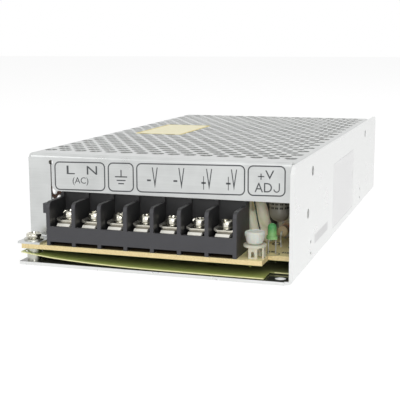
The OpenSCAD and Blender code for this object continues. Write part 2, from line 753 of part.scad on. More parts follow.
// Contact plate: sloping front edge, flat seat with a tapped hole and a pin through the board
module terminal_contact(i) color("whitesmoke") translate([way_x(i), 0, 0]) {
  difference() {
    upright_y(-contact_w / 2, contact_w) polygon([
      [nose_y, plate_under - 0.05], [nose_y + 0.5, plate_under - 0.4], [nose_y + slope_l, plate_under],
      [pin_y + contact_t, plate_under], [pin_y + contact_t, contact_top], [nose_y + nose_l, contact_top]
    ]);
    translate([0, screw_y, plate_under - contact_t]) cylinder(d = term_d + 2 * slip, h = 3 * contact_t);
  }
  translate([-pin_w / 2, pin_y, board_z - lead_under])
    cube([pin_w, contact_t, plate_under + contact_t / 2 - board_z + lead_under]);
}

// Clamp plate with turned up wings and a round hole
module clamp_plate(i) color("whitesmoke") translate([way_x(i), screw_y, contact_top]) difference() {
  tip = 0.1;
  translate([0, clamp_l / 2, 0]) rotate([90, 0, 0]) linear_extrude(clamp_l) polygon([
    [-clamp_flat / 2, 0], [clamp_flat / 2, 0], [clamp_w / 2, clamp_rise],
    [clamp_w / 2 - tip, clamp_rise + clamp_t], [clamp_flat / 2 - tip, clamp_t],
    [tip - clamp_flat / 2, clamp_t], [tip - clamp_w / 2, clamp_rise + clamp_t], [-clamp_w / 2, clamp_rise]
  ]);
  translate([0, 0, -clamp_t]) cylinder(d = term_d + 2 * screw_play, h = 4 * clamp_t);
}

// Terminal screw with its spring washer under the head
module terminal_screw(i) color("silver")
  translate([way_x(i), screw_y, contact_top + clamp_t + slip]) rotate(25 * i) difference() {
    collar_h = clamp_rise;
    collar_d = clamp_flat - 0.4;
    point = 0.5;
    union() {
      translate([0, 0, collar_h]) pan_head(term_head_d, term_head_h);
      cylinder(d = collar_d, h = collar_h + slip);
      translate([0, 0, point - term_l]) cylinder(d = term_d, h = term_l);
      translate([0, 0, -term_l]) cylinder(d1 = term_d - 2 * point, d2 = term_d, h = point);
    }
    translate([0, 0, collar_h + term_head_h]) driver_recess(term_head_d / 2, term_head_h / 2);
  }

module trimmer_base() color("ivory") translate([trimmer_x, trimmer_y, board_top]) difference() {
  rim_w = trimmer_w + 2 * trimmer_rim;
  rim_h = 0.2 * trimmer_h;
  union() {
    translate([-trimmer_w / 2, -trimmer_w / 2, 0]) cube([trimmer_w, trimmer_w, trimmer_h - rim_h / 2]);
    translate([-rim_w / 2, -rim_w / 2, trimmer_h - rim_h]) cube([rim_w, rim_w, rim_h]);
  }
  // Arches between the four legs
  for (turn = [0, 90]) rotate(turn) upright_x(-trimmer_w, 2 * trimmer_w) {
    translate([-trimmer_w / 4, -1]) square([trimmer_w / 2, 1 + trimmer_rim]);
    translate([0, trimmer_rim]) circle(r = trimmer_w / 4);
  }
  cylinder(d = shaft_d + 2 * slip, h = 2 * trimmer_h);
}

// Knob with grip grooves round its rim and a slot across its top
module trimmer_knob() color("whitesmoke")
  translate([trimmer_x, trimmer_y, board_top + trimmer_h + knob_gap]) difference() {
    edge = 0.5;
    union() {
      cylinder(d = knob_d, h = knob_h - edge);
      translate([0, 0, knob_h - edge]) cylinder(d1 = knob_d, d2 = knob_d - 2 * edge, h = edge);
      translate([0, 0, -shaft_l]) cylinder(d = shaft_d, h = shaft_l + edge);
    }
    translate([-knob_d, -edge, knob_h - 2 * edge]) cube([2 * knob_d, 2 * edge, knob_h]);
    for (a = [15:30:345])
      rotate(a) translate([knob_d / 2 + edge / 2, 0, -edge]) cylinder(r = edge, h = 2 * knob_h, $fn = 16);
  }

module lamp_lens() color([0.3, 0.75, 0.4]) translate([lamp_x, lamp_y, board_top + lamp_h]) difference() {
  r = lamp_d / 2;
  rim_r = r + 0.4;
  rotate_extrude() polygon(concat(
    [for (a = [0:15:90]) [r * sin(a), r * cos(a) - r]],
    [[r, lens_rim - lens_l], [rim_r, lens_rim - lens_l], [rim_r, -lens_l], [0, -lens_l]]));
  for (side = [-1, 1]) translate([side * lamp_lead, 0, -lens_l - lead_play])
    cylinder(d = lead_d + 2 * slip, h = lens_rim + lead_play, $fn = 16);
}

module lamp_leads() color("silver")
  for (side = [-1, 1]) translate([lamp_x + side * lamp_lead, lamp_y, board_z - lead_under])
    cylinder(d = lead_d, h = lead_under + board_t + lamp_h - lens_l + lens_rim - slip, $fn = 16);

module fuse() color("whitesmoke")
  translate([fuse_x, row_y, board_top + fuse_lift]) rotate([-90, 0, 0]) cylinder(d = fuse_d, h = fuse_l);

module fuse_clips() color("silver") for (y = [row_y + clip_t, row_y + fuse_l - clip_l - clip_t])
  translate([fuse_x, y, board_top]) upright_x(0, clip_l) difference() {
    union() {
      translate([0, fuse_lift]) circle(d = fuse_d + 2 * clip_t);
      translate([-fuse_d / 3, 0]) square([2 * fuse_d / 3, fuse_lift]);
    }
    translate([0, fuse_lift]) circle(d = fuse_d);
    translate([-fuse_d, fuse_lift + fuse_d / 3]) square([2 * fuse_d, fuse_d]);
  }

module thermistor() color([0.15, 0.3, 0.2])
  translate([thermistor_x, row_y + part_gap, board_top + thermistor_d / 2]) rotate([-90, 0, 0])
    cylinder(d = thermistor_d, h = thermistor_t);

module line_filter_capacitor() color("gold")
  translate([filter_x, row_y, board_top]) rounded_box([filter_w, filter_t, filter_h], 1);

module line_choke_core() color([0.3, 0.3, 0.32]) translate([choke_x, choke_y, board_top])
  upright_x(-choke_t / 2, choke_t) difference() {
    translate([-choke_w / 2, 0]) square([choke_w, choke_h]);
    translate([choke_limb - choke_w / 2, choke_limb])
      square([choke_w - 2 * choke_limb, choke_h - 2 * choke_limb]);
  }

module line_choke_windings() color([0.75, 0.4, 0.2])
  for (side = [-1, 1])
    translate([choke_x + side * (choke_w - choke_limb) / 2, choke_y, board_top + choke_limb]) difference() {
      hole_w = choke_limb + 2 * coil_play;
      hole_l = choke_t + 2 * coil_play;
      translate([-coil_w / 2, -coil_l / 2, coil_play])
        rounded_box([coil_w, coil_l, choke_h - 2 * choke_limb - 2 * coil_play], 1.6);
      translate([-hole_w / 2, -hole_l / 2, -1]) cube([hole_w, hole_l, choke_h]);
    }

module bridge_rectifier() color([0.2, 0.2, 0.2])
  translate([bulk_x - bulk_d / 2 + 2 * part_gap, bridge_y, board_top]) {
    lead_w = 1.2;
    translate([0, 0, package_leg]) cube([bridge_w, bridge_t, bridge_h]);
    for (k = [-1.5:1.5]) translate([bridge_w / 2 + k * bridge_pitch - lead_w / 2, (bridge_t - lead_w) / 2, 0])
      cube([lead_w, lead_w, package_leg + bend_leg]);
  }

module reservoir_capacitor(i) color([0.18, 0.2, 0.24])
  translate([bulk_x, bulk_y + (i - 1) * bulk_step, board_top]) can(bulk_d, bulk_h);

module transformer_core() color([0.28, 0.28, 0.3]) translate([core_x, core_y, board_top])
  upright_x(-core_l / 2, core_l) difference() {
    translate([-core_w / 2, 0]) square([core_w, core_h]);
    for (x = [core_limb - core_w / 2, core_limb]) translate([x, core_limb])
      square([core_window, core_h - 2 * core_limb]);
  }

module transformer_winding() color("khaki") translate([core_x, core_y, board_top + core_limb + coil_play])
  difference() {
    outer = core_limb + core_window - coil_play;
    inner = core_limb + coil_play;
    depth = core_l / 2 + core_window;
    translate([-outer, -depth, 0])
      rounded_box([2 * outer, 2 * depth, core_h - 2 * core_limb - 2 * coil_play], 3);
    translate([-inner, -core_l / 2 - coil_play, -1]) cube([2 * inner, core_l + 2 * coil_play, core_h]);
  }

module heat_sink() color("silver") translate([sink_x, sink_y, board_top]) {
  fins = 6;
  translate([-sink_t, 0, 0]) cube([sink_t, sink_l, sink_h]);
  for (k = [1:fins]) translate([-sink_t / 2, sink_l * (k - 0.5) / fins - fin_t / 2, fin_l])
    cube([sink_t / 2 + fin_l, fin_t, sink_h - fin_l]);
}

module switch_transistor() color([0.16, 0.16, 0.17])
  translate([sink_x - sink_t, sink_y + (sink_l - package_w) / 2, board_top])
    mirror([1, 0, 0]) power_package();

module controller_chip() color([0.14, 0.14, 0.15])
  translate([chip_x, chip_y, board_top]) dual_inline(chip_w, chip_h, 8);

module optocoupler() color([0.9, 0.9, 0.86])
  translate([chip_x + chip_w + 2 * part_gap, chip_y, board_top]) dual_inline(opto_w, chip_h, 2);

module output_choke_core() color([0.75, 0.7, 0.3])
  translate([ring_x, ring_y, board_top + wire_t + 2 * coil_play]) linear_extrude(ring_h) difference() {
    circle(d = ring_d);
    circle(d = ring_bore);
  }

// Turns of round wire laid side by side round the ring
module output_choke_winding() color([0.72, 0.38, 0.18]) for (a = [0:20:300])
  translate([ring_x, ring_y, board_top + coil_play]) rotate(a)
    translate([ring_bore / 2 - coil_play - wire_t, 0, 0]) upright_x(-wire_t / 2, wire_t) difference() {
      turn_w = (ring_d - ring_bore) / 2 + 2 * coil_play;
      turn_h = ring_h + 2 * coil_play;
      square([turn_w + 2 * wire_t, turn_h + 2 * wire_t]);
      translate([wire_t, wire_t]) square([turn_w, turn_h]);
    }

module output_capacitor(i) color([0.3, 0.3, 0.32])
  translate([out_caps[i - 1][0], out_caps[i - 1][1], board_top]) can(out_cap_d, out_cap_h);

module output_rectifier() color([0.16, 0.16, 0.17])
  translate([wall_x, clip_y + part_gap, board_top]) mirror([1, 0, 0]) power_package();

// Spring clip that presses the rectifier to the side wall
module rectifier_clip() color("silver") translate([0, clip_y, clip_z - spring_w / 2]) {
  arm_y = part_gap - spring_t - lead_play;
  arm_x = wall_x - package_t - spring_t;
  difference() {
    translate([wall_x - spring_t, -cover_hole_d, 0])
      cube([spring_t, cover_hole_d + arm_y + spring_t, spring_w]);
    translate([wall_x - 2 * spring_t, 0, spring_w / 2]) rotate([0, 90, 0])
      cylinder(d = tapped_d, h = 4 * spring_t);
  }
  translate([arm_x, arm_y, 0]) cube([package_t + spring_t, spring_t, spring_w]);
  translate([arm_x, arm_y, 0]) cube([spring_t, package_w / 2 + spring_w / 4, spring_w]);
}

module output_resistor() color("tan")
  translate([board_right - resistor_side, row_y, board_top + resistor_d / 2]) rotate([-90, 0, 0])
    cylinder(d = resistor_d, h = resistor_l);

module silicone_bead() color("cornsilk") translate([board_right - bead_side, bead_y, board_top]) hull() {
  for (y = [-bead_d / 6, bead_d / 6]) translate([0, y, 0]) cylinder(d = bead_d, h = 1, $fn = 32);
  translate([0, 0, 0.6 * bead_h]) sphere(r = 0.4 * bead_h, $fn = 32);
}

chassis();
mesh_cover();
insulating_sheet();
standoffs();
circuit_board();
tab_screw();
tab_washer();
board_screws();
terminal_block();
for (i = [1:ways]) {
  terminal_contact(i);
  clamp_plate(i);
  terminal_screw(i);
}
trimmer_base();
trimmer_knob();
lamp_lens();
lamp_leads();
fuse();
fuse_clips();
thermistor();
line_filter_capacitor();
line_choke_core();
line_choke_windings();
bridge_rectifier();
for (i = [1:2]) reservoir_capacitor(i);
transformer_core();
transformer_winding();
heat_sink();
switch_transistor();
controller_chip();
optocoupler();
output_choke_core();
output_choke_winding();
for (i = [1:3]) output_capacitor(i);
output_rectifier();
rectifier_clip();
output_resistor();
silicone_bead();
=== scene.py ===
# Mesh case power supply: finishes, printed marks, sticker, small detailed parts, camera and lamps
import math

import bmesh
import bpy
from mathutils import Matrix, Vector


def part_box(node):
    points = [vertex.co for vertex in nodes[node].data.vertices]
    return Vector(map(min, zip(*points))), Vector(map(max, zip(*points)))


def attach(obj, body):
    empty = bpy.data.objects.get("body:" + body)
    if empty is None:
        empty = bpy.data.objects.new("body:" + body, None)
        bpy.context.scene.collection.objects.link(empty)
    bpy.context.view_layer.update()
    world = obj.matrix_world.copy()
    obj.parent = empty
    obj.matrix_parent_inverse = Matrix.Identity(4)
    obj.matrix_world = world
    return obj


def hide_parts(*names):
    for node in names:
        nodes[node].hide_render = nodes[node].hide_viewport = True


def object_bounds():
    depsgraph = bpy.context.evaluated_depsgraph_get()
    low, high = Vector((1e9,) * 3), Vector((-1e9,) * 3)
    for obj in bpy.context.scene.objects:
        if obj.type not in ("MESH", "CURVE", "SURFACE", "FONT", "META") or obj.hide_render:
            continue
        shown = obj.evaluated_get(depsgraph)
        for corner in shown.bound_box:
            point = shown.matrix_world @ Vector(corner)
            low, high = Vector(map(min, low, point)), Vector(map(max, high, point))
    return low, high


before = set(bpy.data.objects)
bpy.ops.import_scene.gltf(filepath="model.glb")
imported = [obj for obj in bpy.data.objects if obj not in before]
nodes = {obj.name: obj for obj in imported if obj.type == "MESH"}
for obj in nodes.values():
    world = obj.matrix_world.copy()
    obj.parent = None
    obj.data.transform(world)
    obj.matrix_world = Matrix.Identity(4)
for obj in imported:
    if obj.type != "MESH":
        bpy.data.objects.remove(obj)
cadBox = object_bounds()
mm = 0.001
ways = sum(name.startswith("terminal_screw_") for name in nodes)
print("frame loaded:", len(nodes), "nodes,", ways, "ways")


def boxOf(node):
    # a node's low and high corner in millimetres
    return [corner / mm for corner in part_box(node)]


def numbered(start):
    return [f"{start}_{i}" for i in range(1, ways + 1)]


def linear(red, green, blue, share=1.0):
    # from the usual 0 to 255 values to a share of the shader's own, with a full alpha
    def one(value):
        return value / 12.92 if value <= 0.04045 else ((value + 0.055) / 1.055) ** 2.4
    return (*[one(value / 255) * share for value in (red, green, blue)], 1)


# node trees: a Wire is an output that takes part in sums, and each sum adds a Math node
def sumOf(kind, swapped=False):
    def worked(self, other=0.0):
        first, second = (other, self) if swapped else (self, other)
        return self.owner.node("ShaderNodeMath", {"operation": kind}, {0: first, 1: second})
    return worked


class Wire:
    def __init__(self, owner, socket):
        self.owner = owner
        self.socket = socket

    __add__, __radd__ = sumOf("ADD"), sumOf("ADD", True)
    __sub__, __rsub__ = sumOf("SUBTRACT"), sumOf("SUBTRACT", True)
    __mul__, __rmul__ = sumOf("MULTIPLY"), sumOf("MULTIPLY", True)
    __truediv__, __rtruediv__ = sumOf("DIVIDE"), sumOf("DIVIDE", True)
    __pow__, __rpow__ = sumOf("POWER"), sumOf("POWER", True)
    __lt__, __gt__ = sumOf("LESS_THAN"), sumOf("GREATER_THAN")
    __abs__, most = sumOf("ABSOLUTE"), sumOf("MAXIMUM")

    def between(self, low, high):
        return (self > low) * (self < high)

    def beside(self, name):
        # another output of the same node
        return Wire(self.owner, self.socket.node.outputs[name])


class Tree:
    def __init__(self, tree):
        self.tree = tree

    def node(self, kind, settings=None, sockets=None, out=0):
        # any node: its type, its settings first, then the values or links of its sockets
        made = self.tree.nodes.new(kind)
        for name, value in (settings or {}).items():
            if name == "stops":
                elements = made.color_ramp.elements
                elements.remove(elements[1])
                elements[0].position = value[0][0]
                elements[0].color = (*[value[0][1]] * 3, 1)
                for spot, level in value[1:]:
                    elements.new(spot).color = (level, level, level, 1)
            else:
                setattr(made, name, value)
        for name, value in (sockets or {}).items():
            if isinstance(value, Wire):
                self.tree.links.new(value.socket, made.inputs[name])
            else:
                made.inputs[name].default_value = value
        return Wire(self, made.outputs[out]) if made.outputs else None


class Finish(Tree):
    # one material, with the object's own place as x, y and z
    def __init__(self, name):
        self.material = bpy.data.materials.new(name)
        self.material.use_nodes = True
        super().__init__(self.material.node_tree)
        self.tree.nodes.clear()
        self.place = self.node("ShaderNodeTexCoord", out="Object")
        self.x = self.node("ShaderNodeSeparateXYZ", {}, {0: self.place}, "X")
        self.y, self.z = self.x.beside("Y"), self.x.beside("Z")

    def stretched(self, size):
        # the place measured in units of size along each axis
        return self.node("ShaderNodeMapping", {}, {"Vector": self.place, "Scale": [1 / s for s in size]})

    def noise(self, size, detail=3.0, rough=0.6):
        size = size if isinstance(size, tuple) else (size, size, size)
        return self.node("ShaderNodeTexNoise", {}, {"Vector": self.stretched(size), "Scale": 1.0,
                                                    "Detail": detail, "Roughness": rough})

    def cells(self, size):
        return self.node("ShaderNodeTexVoronoi", {}, {"Vector": self.stretched((size,) * 3), "Scale": 1.0})

    def zigzag(self, value, size):
        return self.node("ShaderNodeMath", {"operation": "PINGPONG"}, {0: value, 1: size})

    def ramp(self, value, stops):
        return self.node("ShaderNodeValToRGB", {"stops": stops}, {0: value})

    def colour(self, mask, first, second):
        # a colour is a wire, or red, green and blue up to 255, with a share after them where it is dimmed
        first, second = [end if isinstance(end, Wire) else linear(*end) for end in (first, second)]
        return self.node("ShaderNodeMix", {"data_type": "RGBA", "clamp_factor": True},
                         {0: mask, 6: first, 7: second}, 2)

    def shades(self, mask, dark, light, low=0.3, high=0.7):
        # a mix with more contrast than the mask has
        return self.colour(self.ramp(mask, [(low, 0.0), (high, 1.0)]), dark, light)

    def bump(self, height, depth, strength=1.0, under=None):
        sockets = {"Strength": strength, "Distance": depth * mm, "Height": height}
        return self.node("ShaderNodeBump", {}, {**sockets, **({"Normal": under} if under else {})}, "Normal")

    def shade(self, **sockets):
        spelled = {"base": "Base Color", "metal": "Metallic", "rough": "Roughness", "normal": "Normal",
                   "coat": "Coat Weight", "coatRough": "Coat Roughness", "through": "Transmission Weight",
                   "ior": "IOR", "under": "Subsurface Weight", "underDepth": "Subsurface Scale"}
        return self.finished(self.node("ShaderNodeBsdfPrincipled", {},
                                       {spelled[key]: value for key, value in sockets.items()}))

    def finished(self, surface):
        self.node("ShaderNodeOutputMaterial", {}, {"Surface": surface})
        return self.material


def paint(nodeNames, material):
    for name in nodeNames:
        slots = nodes[name].data.materials
        slots.clear()
        slots.append(material)


# sheet metal, with the bare labels of the side wall in its paint, and painted shade on the floor inside the case
chassisLook = {"metal": (232, 233, 232), "dark": 0.93, "inside": (108, 108, 104), "roughness": 0.3}
ratingLabel = {"along": (-26.5, 24.5), "up": (4.0, 29.5), "edge": 0.35, "rim": (216, 216, 216),
               "paper": (236, 236, 236)}
smallLabel = {"along": (-63.5, -37.5), "up": (6.0, 9.2), "paper": (214, 214, 214)}


def sheetMetal(finish, along):
    # long rolled streaks, a cloudy bloom and fine grain
    streak = tuple((14 if axis == along else 0.12) * mm for axis in "xyz")
    return {"streaks": finish.noise(streak, 2.0), "cloud": finish.noise(16 * mm),
            "grain": finish.noise(0.35 * mm, 2.0)}


def boxMask(first, second, firstSpan, secondSpan, inset=0.0):
    masks = [wire.between((low + inset) * mm, (high - inset) * mm)
             for wire, (low, high) in ((first, firstSpan), (second, secondSpan))]
    return masks[0] * masks[1]


def chassisFinish():
    finish = Finish("rolledAluminium")
    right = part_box("chassis")[1].x
    sheet = sheetMetal(finish, "y")
    base = finish.shades(sheet["cloud"] * 0.5 + sheet["streaks"] * 0.5,
                         (*chassisLook["metal"], chassisLook["dark"]), chassisLook["metal"])
    outside = finish.x > right - 0.1 * mm
    label, middle, small = [outside * boxMask(finish.y, finish.z, look["along"], look["up"], inset)
                            for look, inset in ((ratingLabel, 0.0), (ratingLabel, ratingLabel["edge"]),
                                                (smallLabel, 0.0))]
    # painted shade: the floor inside the case takes the darker inside colour
    floor = finish.z.between(1.1 * mm, 1.3 * mm) * (finish.x < right - 1.3 * mm)
    for mask, tint in ((label, ratingLabel["rim"]), (middle, ratingLabel["paper"]), (small, smallLabel["paper"]),
                       (floor, chassisLook["inside"])):
        base = finish.colour(mask, base, tint)
    paper = label.most(small)
    height = sheet["streaks"] * 0.6 + sheet["grain"] * 0.4
    rough = chassisLook["roughness"] - floor * 0.14 + (sheet["cloud"] - 0.5) * 0.2 + paper * 0.15
    return finish.shade(base=base, metal=0.72 - paper * 0.72, rough=rough,
                        normal=finish.bump(height * (1 - paper) + paper * 0.5, 0.01, 0.35))


coverLook = {"metal": (209, 211, 210), "dark": 0.84, "roughness": 0.32, "spangle": 5}


def coverFinish():
    finish = Finish("galvanisedSteel")
    sheet = sheetMetal(finish, "x")
    mix = sheet["streaks"] * 0.45 + sheet["cloud"] * 0.35 + finish.cells(coverLook["spangle"] * mm) * 0.2
    return finish.shade(base=finish.shades(mix, (*coverLook["metal"], coverLook["dark"]),
                                           coverLook["metal"], 0.3, 0.65),
                        metal=0.8, rough=coverLook["roughness"] + (sheet["cloud"] - 0.5) * 0.22,
                        normal=finish.bump(sheet["streaks"] * 0.5 + sheet["grain"] * 0.5, 0.01, 0.35))


def bareMetal(name, colour, roughness, thread=None):
    # plated small parts: soft clouding, fine scratches, and a thread below the head where one is asked for
    finish = Finish(name)
    cloud = finish.noise(1.6 * mm)
    scratch = finish.noise((0.05 * mm, 0.6 * mm, 0.05 * mm), 2.0)
    normal = finish.bump(scratch * 0.4 + cloud * 0.6, 0.012, 0.4)
    if thread:
        half = thread["pitch"] * mm / 2
        turns = finish.zigzag(finish.z, half)
        normal = finish.bump(turns / half * (finish.z < thread["below"] * mm), thread["depth"], 1.0, normal)
    return finish.shade(base=finish.shades(cloud, (*colour, 0.8), colour), metal=1.0,
                        rough=roughness + (cloud - 0.5) * 0.2, normal=normal)


# the first pair of colours is a painted highlight for the front edge, the second painted shade for the face under
# the clamp
contactLook = {"bright": ((236, 234, 224), (252, 250, 242)), "paintedFaceShade": ((70, 64, 52), (120, 112, 94)),
               "roughness": 0.36}


def contactFinish():
    # dipped tin: painted near white on the front edge as a highlight, and painted dark on the face under the clamp
    # as its shade
    finish = Finish("dippedTin")
    low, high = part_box("terminal_contact_1")
    cloud = finish.noise(1.2 * mm)
    # painted shade on the face under the clamp
    face = (finish.z > high.z - 0.04 * mm) * (finish.y > low.y + 0.15 * mm)
    bright, paintedFaceShade = [finish.colour(cloud, dark, light)
                       for dark, light in (contactLook["bright"], contactLook["paintedFaceShade"])]
    return finish.shade(base=finish.colour(face, bright, paintedFaceShade), metal=0.3 + face * 0.6,
                        rough=contactLook["roughness"] + (cloud - 0.5) * 0.2,
                        normal=finish.bump(cloud, 0.012, 0.4))


screwLook = {"sides": 48, "recess": 1.15, "slot": 0.75, "cross": 1.15, "pitch": 0.5, "threadDepth": 0.22,
             "shank": 1.45, "head": 2.3, "collar": 0.7, "tabHead": 1.5, "tabCollar": 0.5}

paint(["chassis"], chassisFinish())
paint(["mesh_cover"], coverFinish())
screwThread = {"pitch": screwLook["pitch"], "depth": screwLook["threadDepth"],
               "below": boxOf("terminal_screw_1")[1].z - screwLook["head"]}
platedSteel = bareMetal("brightZinc", (226, 223, 210), 0.2, screwThread)
paint(numbered("terminal_screw"), platedSteel)
for painted, name, colour, roughness in (
        (["tab_screw", "board_screws"], "brightZincCase", (214, 211, 198), 0.13),
        (["standoffs", "tab_washer"], "turnedZinc", (196, 196, 186), 0.3),
        (numbered("clamp_plate"), "tinnedBrass", (236, 233, 220), 0.2),
        (["lamp_leads", "fuse_clips", "rectifier_clip"], "tinnedSteel", (200, 200, 194), 0.3)):
    paint(painted, bareMetal(name, colour, roughness))
paint(numbered("terminal_contact"), contactFinish())
print("sheet metal and plated parts painted")


def moulded(name, colour, roughness, grain=0.25, depth=0.012, cloudy=0.08, **more):
    # cast and moulded parts: a slow cloud and fine pores of the given grain and depth
    finish = Finish(name)
    cloud = finish.noise(5 * mm)
    pores = finish.noise(grain * mm, 2.0, 0.7)
    base = finish.shades(cloud * 0.6 + pores * 0.4, (*colour, 1 - 2 * cloudy), colour)
    return finish.shade(base=base, rough=roughness + (cloud - 0.5) * 0.16,
                        normal=finish.bump(pores * 0.7 + cloud * 0.3, depth, 0.5), **more)


# the first pair is the block's own grey, the second painted shade for the faces inside the ways
blockLook = {"satin": ((50, 50, 53), (66, 66, 70)), "wayShade": ((22, 22, 23), (44, 44, 45)), "roughness": 0.44}


def blockFinish():
    # outer faces in the block's own grey, and painted shade on the faces inside the ways
    finish = Finish("blockPlastic")
    low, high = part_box("terminal_block")
    cloud = finish.noise(5 * mm)
    pores = finish.noise(0.22 * mm, 2.0, 0.7)
    # the front face and the right side keep the own grey; every other face is painted in shade
    front = finish.ramp((finish.y - low.y) / (1.2 * mm), [(0.35, 1.0), (0.9, 0.0)])
    side = finish.ramp((finish.x - high.x) / (0.5 * mm) + 1, [(0.5, 0.0), (1.0, 1.0)])
    satin, wayShade = [finish.colour(mask, dark, light)
                   for mask, (dark, light) in ((cloud * 0.5 + pores * 0.5, blockLook["satin"]),
                                               (cloud, blockLook["wayShade"]))]
    return finish.shade(base=finish.colour(front.most(side), wayShade, satin),
                        rough=blockLook["roughness"] + (cloud - 0.5) * 0.2,
                        normal=finish.bump(pores * 0.7 + cloud * 0.3, 0.02, 0.5))


boardLook = {"edge": ((222, 198, 142), (242, 224, 172)), "face": ((226, 212, 152), (246, 232, 178)),
             "paintedShadeUnderBlock": (84, 70, 48), "resist": (96, 128, 66), "tracks": (66, 104, 52), "roughness": 0.5}


def boardFinish():
    finish = Finish("phenolicBoard")
    low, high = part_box("circuit_board")
    fibre = finish.noise((0.5 * mm, 2.2 * mm, 0.2 * mm))
    speck = finish.noise(0.28 * mm, 2.0, 0.7)
    cloud = finish.noise(18 * mm, 2.0, 0.5)
    edge, face = [finish.shades(mask, dark, light, 0.35, 0.65)
                  for mask, (dark, light) in ((fibre, boardLook["edge"]),
                                              (fibre * 0.5 + speck * 0.3 + cloud * 0.2, boardLook["face"]))]
    # painted shade on the board's top under the terminal block
    blockLow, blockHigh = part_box("terminal_block")
    underBlockShade = (finish.x.between(blockLow.x + 0.8 * mm, blockHigh.x)
              * finish.y.between(blockLow.y + 0.5 * mm, blockHigh.y))
    face = finish.colour(underBlockShade, face, boardLook["paintedShadeUnderBlock"])
    # copper under green resist on the far side
    tracks = finish.ramp(finish.noise((5 * mm, 9 * mm, 5 * mm), 1.0, 0.3), [(0.49, 0.0), (0.5, 1.0)])
    resist = finish.colour(tracks, boardLook["resist"], boardLook["tracks"])
    base = finish.colour(finish.z < low.z + 0.06 * mm, edge, resist)
    base = finish.colour(finish.z > high.z - 0.06 * mm, base, face)
    return finish.shade(base=base, rough=boardLook["roughness"] + (speck - 0.5) * 0.2,
                        normal=finish.bump(fibre * 0.6 + speck * 0.4, 0.015, 0.5))


filmLook = {"front": (206, 216, 122), "deep": (104, 102, 76), "cut": (228, 226, 170), "fade": 22, "cutWide": 0.16,
            "notchReach": 12, "roughness": 0.34}


def filmFinish():
    # painted light at the front and painted shade further in under the board, pale along every cut edge
    finish = Finish("insulatingFilm")
    low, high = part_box("insulating_sheet")
    haze = finish.noise(12 * mm, 2.0, 0.5)
    drawn = finish.noise((0.2 * mm, 12 * mm, 0.2 * mm), 2.0)
    wide, reach = filmLook["cutWide"] * mm, filmLook["notchReach"] * mm
    notch = [corner for corner in (v.co for v in nodes["insulating_sheet"].data.vertices)
             if high.x - reach < corner.x < high.x - 2 * mm and corner.y < low.y + reach]
    side = max(corner.x for corner in notch)
    back = max(corner.y for corner in notch)
    edge = (finish.y < low.y + 0.12 * mm).most((abs(finish.x - side) < wide) * (finish.y < back + wide)) \
        .most((abs(finish.y - back) < wide) * (finish.x > side - wide))
    # painted shade that deepens with the distance behind the front edge
    deep = finish.ramp((finish.y - low.y) / (filmLook["fade"] * mm),
                       [(0.0, 0.0), (0.22, 0.45), (0.5, 0.9), (1.0, 1.0)])
    face = finish.colour(deep + (haze - 0.5) * 0.2, filmLook["front"], filmLook["deep"])
    return finish.shade(base=finish.colour(edge, face, filmLook["cut"]),
                        rough=filmLook["roughness"] + (haze - 0.5) * 0.12, normal=finish.bump(drawn, 0.01, 0.3))


lensLook = {"deep": (96, 184, 112), "paintedHighlight": (196, 244, 170), "roughness": 0.14}


def lensFinish():
    # tinted resin, darker towards the dome, with pale swirls lower down that are painted highlights
    finish = Finish("greenResin")
    low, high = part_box("lamp_lens")
    swirl = finish.noise((1.1 * mm, 1.1 * mm, 1.8 * mm), 2.0)
    # darker towards the dome, and the pale colour lower down a painted highlight
    level = finish.ramp((finish.z - low.z) / (high.z - low.z), [(0.15, 0.75), (0.5, 0.45), (0.8, 0.0)])
    base = finish.colour(level + (swirl - 0.5) * 1.3, lensLook["deep"], lensLook["paintedHighlight"])
    return finish.shade(base=base, rough=lensLook["roughness"] + (swirl - 0.5) * 0.1, through=0.5, ior=1.4,
                        normal=finish.bump(swirl, 0.05, 0.4))


tapeLook = {"colours": ((190, 158, 58), (222, 190, 88)), "layer": 1.3, "roughness": 0.28}


def tapeFinish():
    finish = Finish("polyesterTape")
    layer = finish.zigzag(finish.z, tapeLook["layer"] * mm) / (tapeLook["layer"] * mm)
    crease = finish.noise((6 * mm, 6 * mm, 0.5 * mm))
    dark, light = tapeLook["colours"]
    return finish.shade(base=finish.shades(crease, dark, light, 0.35, 0.65),
                        rough=tapeLook["roughness"] + (crease - 0.5) * 0.2, coat=0.3, coatRough=0.2,
                        normal=finish.bump(layer * 0.6 + crease * 0.4, 0.12, 0.6))


def enamelFinish(name, colour):
    finish = Finish(name)
    cloud = finish.noise(3 * mm, 2.0, 0.5)
    return finish.shade(base=finish.colour(cloud, (*colour, 0.7), colour), metal=0.75,
                        rough=0.26 + (cloud - 0.5) * 0.15, coat=0.5, coatRough=0.15,
                        normal=finish.bump(finish.noise(0.3 * mm, 3.0, 0.55), 0.02, 0.3))


def ceramicFinish(name, colour, bands):
    # a speckled body with painted or capped bands, each a place, a width and a colour
    finish = Finish(name)
    speck = finish.noise(0.35 * mm, 3.0, 0.7)
    base = finish.shades(speck, (*colour, 0.86), colour)
    for spot, width, tint in bands:
        band = finish.y.between((spot - width / 2) * mm, (spot + width / 2) * mm)
        base = finish.colour(band, base, tint)
    return finish.shade(base=base, rough=0.5 + (speck - 0.5) * 0.2, normal=finish.bump(speck, 0.03, 0.5))


fuseLook = {"body": (222, 218, 204), "cap": (196, 196, 190), "capLong": 5.2}
resistorLook = {"body": (196, 176, 138), "bandWide": 0.8,
                "bands": [(-2.6, (92, 56, 36)), (-0.9, (40, 40, 40)), (0.8, (190, 70, 40)), (2.8, (186, 150, 60))]}
fuseLow, fuseHigh = boxOf("fuse")
resistorLow, resistorHigh = boxOf("output_resistor")
resistorMid = (resistorLow.y + resistorHigh.y) / 2
copper = enamelFinish("enamelledCopper", (164, 88, 46))

